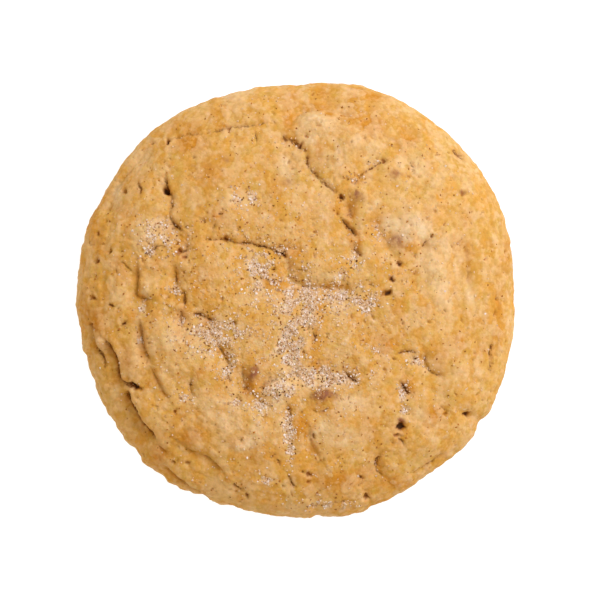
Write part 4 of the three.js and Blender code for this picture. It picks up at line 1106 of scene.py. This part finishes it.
def crack_colour(shader, colour):
    """Adds painted shade: the browned and shaded seams of the cracks, the broken painted shadow line in them,
    and the shade of the holes.
    """
    colour = shader.layers(colour, SEAM_BROWN_AND_SHADE_LAYERS)
    # Painted shadow line along the crack's middle, broken here and there
    across = shader.plus(shader.field("line"), shader.patches("ragged"))
    seam_brown_and_shade = shader.spread(shader.field("seam_brown_and_shade"), *LINE_SEAM)
    line = shader.times(shader.spread(across, *LINE_ACROSS), seam_brown_and_shade)
    colour = shader.mix(shader.times(line, shader.patches("broken")), colour, CRACK_SHADOW_LINE)
    return shader.layers(colour, HOLE_SHADE_LAYERS)


def dough_material():
    """Baked dough with its crumb, sugar, chips, cracks and scorched base, and painted shade in its cracks,
    holes and hollows.
    """
    shader = Shader("baked_dough")
    colour = crust_colour(shader)
    dome, shade = shader.grains(CRUMB_SIZE)
    for start, full, most, tint in CRUMB_SHADES:
        colour = shader.mix(shader.spread(shade, start, full, 0, most), colour, tint)
    # Painted shade in the ticks and under the sugar, and the sugar's film
    colour = shader.layers(colour, SUGAR_AND_SHADE_LAYERS)
    bare = shader.spread(shader.field("chip"), *CHIP_BARE)
    colour = shader.mix(shader.times(bare, shader.patches("chip")), colour, CHIP_SKIN)
    colour = crack_colour(shader, colour)
    scorched = shader.times(shader.field("underside"), shader.patches("scorched"))
    colour = shader.mix(scorched, colour, BASE_BROWN)
    dusted = shader.spread(shader.field("dusted"), *GRIT_DUSTED)
    grit = shader.times(shader.plus(dome, shader.noise(*GRIT_NOISE)), dusted)
    bump = shader.add("Bump", {"Height": grit, "Strength": 1, "Distance": GRIT_DEPTH * MM})
    finish = {"Base Color": colour, "Roughness": shader.patches("gloss"), "Normal": bump.outputs["Normal"]}
    return shader.finish(finish | DOUGH_SURFACE)


def grain_material(name, colours, surface):
    """Loose grains, each of its own shade along a row of colours."""
    shader = Shader(name)
    return shader.finish({"Base Color": shader.ramp(shader.field("shade"), colours)} | surface)


def random_turns(draw, count):
    """Rotation matrices that point every way."""
    w, x, y, z = draw.normal(size=(4, count))
    length = np.sqrt(w * w + x * x + y * y + z * z)
    w, x, y, z = w / length, x / length, y / length, z / length
    rows = [
        [1 - 2 * (y * y + z * z), 2 * (x * y - w * z), 2 * (x * z + w * y)],
        [2 * (x * y + w * z), 1 - 2 * (x * x + z * z), 2 * (y * z - w * x)],
        [2 * (x * z - w * y), 2 * (y * z + w * x), 1 - 2 * (x * x + y * y)],
    ]
    return np.moveaxis(np.array(rows), 2, 0)


def polar(places):
    """Direction of each place, and its distance from the middle as a share of the outline's radius."""
    angle = np.arctan2(places[:, 1], places[:, 0])
    return angle, np.hypot(places[:, 0], places[:, 1]) / outline_radius(angle)


def patch_places(draw, rows, per_mm2):
    """Places drawn thickest in the middle of each patch."""
    places = []
    for x, y, half_width, half_height, thick in rows:
        count = round(per_mm2 * thick * math.pi * half_width * half_height)
        offsets = draw.normal(scale=PATCH_SPREAD, size=(count, 2)) * (half_width, half_height)
        places.append(offsets + (x, y))
    return np.vstack(places)


def sprinkled_places(draw, count):
    """Places spread evenly over the top."""
    reach = SPRINKLED_REACH * OUTER_RADIUS * np.sqrt(draw.uniform(size=count))
    angle = draw.uniform(0, FULL_TURN, count)
    return np.column_stack([reach * np.cos(angle), reach * np.sin(angle)])


def clumped(draw, places):
    """The places that lie in the sugar's clumps."""
    angle, share = polar(places)
    points, _ = smooth_skin(angle, np.minimum(share, 1), np.zeros(len(angle)))
    return places[draw.uniform(size=len(places)) < sugar_clump(points)]


def dusted_places(draw, count):
    """Places in small clumps, fewer of them away from the middle of the top."""
    places = clumped(draw, sprinkled_places(draw, count))
    thick = DUST_LEAST + (1 - DUST_LEAST) * dusting(*places.T)
    return places[draw.uniform(size=len(places)) < thick]


def two_draws(draw, first_range, first_count, second_range, second_count):
    """Numbers drawn evenly from one range and then from another."""
    first = draw.uniform(*first_range, first_count)
    return np.concatenate([first, draw.uniform(*second_range, second_count)])


def make_grains(name, draw, places, sizes, shades, shape, shift):
    """Grains of one kind on the skin, as one mesh, with a shade for each grain."""
    corners, faces, thickness, lift = shape
    angle, share = polar(places)
    kept = share < GRAIN_REACH
    angle, share, size, shade = angle[kept], share[kept], sizes[kept], shades[kept]
    skin, normals, _ = baked_skin(angle, share, np.zeros(len(angle)))
    count = len(skin)
    stretch = draw.uniform(*GRAIN_STRETCH, (count, 1, 3)) * (1, 1, thickness)
    jitter = draw.uniform(*CORNER_REACH, (count, len(corners), 1))
    shapes = corners[None] * stretch * jitter * size[:, None, None]
    turned = np.einsum("nij,nkj->nki", random_turns(draw, count), shapes)
    middles = skin + normals * (size * lift)[:, None] + shift
    points = (turned + middles[:, None, :]).reshape(-1, 3)
    joined = (faces[None] + len(corners) * np.arange(count)[:, None, None]).reshape(-1, faces.shape[1])
    piece = mesh_object(name, points, joined, smooth=False)
    set_field(piece.data, "shade", np.repeat(shade, len(corners)))
    return piece


def make_sugar(draw, shift):
    """Coarse sugar in patches and here and there, and finer sugar dusted over the middle."""
    thick = clumped(draw, patch_places(draw, SUGAR, SUGAR_PER_PATCH_MM2))
    coarse = np.vstack([thick, sprinkled_places(draw, SUGAR_SPRINKLED)])
    dust = dusted_places(draw, SUGAR_DUSTED)
    sizes = two_draws(draw, SUGAR_SIZES, len(coarse), DUST_SIZES, len(dust))
    shades = two_draws(draw, SUGAR_SHADES, len(coarse), DUST_SHADES, len(dust))
    return make_grains("sugar_grains", draw, np.vstack([coarse, dust]), sizes, shades, SUGAR_SHAPE, shift)


def make_spice(draw, shift):
    """Ground spice, darker among the sugar and paler elsewhere."""
    patch = patch_places(draw, SUGAR, SPICE_PER_PATCH_MM2)
    loose = np.vstack([dusted_places(draw, SPICE_DUSTED), sprinkled_places(draw, SPICE_SPRINKLED)])
    shades = two_draws(draw, PATCH_SPICE_SHADES, len(patch), LOOSE_SPICE_SHADES, len(loose))
    places = np.vstack([patch, loose])
    sizes = draw.uniform(*SPICE_SIZES, len(places))
    return make_grains("spice_specks", draw, places, sizes, shades, SPICE_SHAPE, shift)


def add_piece(piece, material):
    """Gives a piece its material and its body."""
    piece.data.materials.append(material)
    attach(piece, "root")
    return piece


def add_key_light():
    """A large soft square light that looks at the cookie."""
    light = bpy.data.lights.new("key", "AREA")
    light.size = KEY_SIZE
    light.energy = KEY_POWER
    light.color = KEY_COLOUR
    lamp = bpy.data.objects.new("key", light)
    around = math.radians(KEY_AZIMUTH)
    up = math.radians(KEY_ELEVATION)
    level = KEY_DISTANCE * math.cos(up)
    lamp.location = (level * math.cos(around), level * math.sin(around), KEY_DISTANCE * math.sin(up))
    lamp.rotation_euler = (math.pi / 2 - up, 0, around + math.pi / 2)
    bpy.context.scene.collection.objects.link(lamp)


def add_stage():
    """A pale floor, soft daylight all round and a large soft light from the upper right."""
    corners = [(x * FLOOR_REACH, y * FLOOR_REACH, 0) for x, y in ((-1, -1), (1, -1), (1, 1), (-1, 1))]
    floor = mesh_object("floor", corners, [(0, 1, 2, 3)], smooth=False)
    floor.data.materials.append(Shader("floor").finish(FLOOR_SURFACE))
    world = bpy.data.worlds.new("daylight")
    world.use_nodes = True
    sky = world.node_tree.nodes["Background"]
    sky.inputs["Color"].default_value = SKY_COLOUR
    sky.inputs["Strength"].default_value = SKY_STRENGTH
    bpy.context.scene.world = world
    add_key_light()


def add_camera():
    """A camera straight above, framed as in the photograph."""
    camera = bpy.data.cameras.new("camera")
    camera.sensor_width = SENSOR_WIDTH
    width = FRAME_PIXELS * PIXEL_MM * MM
    camera.lens = SENSOR_WIDTH * (CAMERA_HEIGHT - RIM_HEIGHT * MM) / width
    eye = bpy.data.objects.new("camera", camera)
    offset = (FRAME_PIXELS / 2 - COOKIE_MIDDLE_PIXEL) * PIXEL_MM * MM
    eye.location = (offset, 0, CAMERA_HEIGHT)
    bpy.context.scene.collection.objects.link(eye)
    bpy.context.scene.camera = eye


add_camera()
shift = box_shift()
cookie = add_piece(make_cookie(shift), dough_material())
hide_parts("cookie")
draw = np.random.default_rng(SEED)
add_piece(make_sugar(draw, shift), grain_material("sugar_grain", SUGAR_COLOURS, SUGAR_SURFACE))
add_piece(make_spice(draw, shift), grain_material("ground_spice", SPICE_COLOURS, SPICE_SURFACE))
add_stage()
bpy.context.scene.view_settings.view_transform = "Standard"
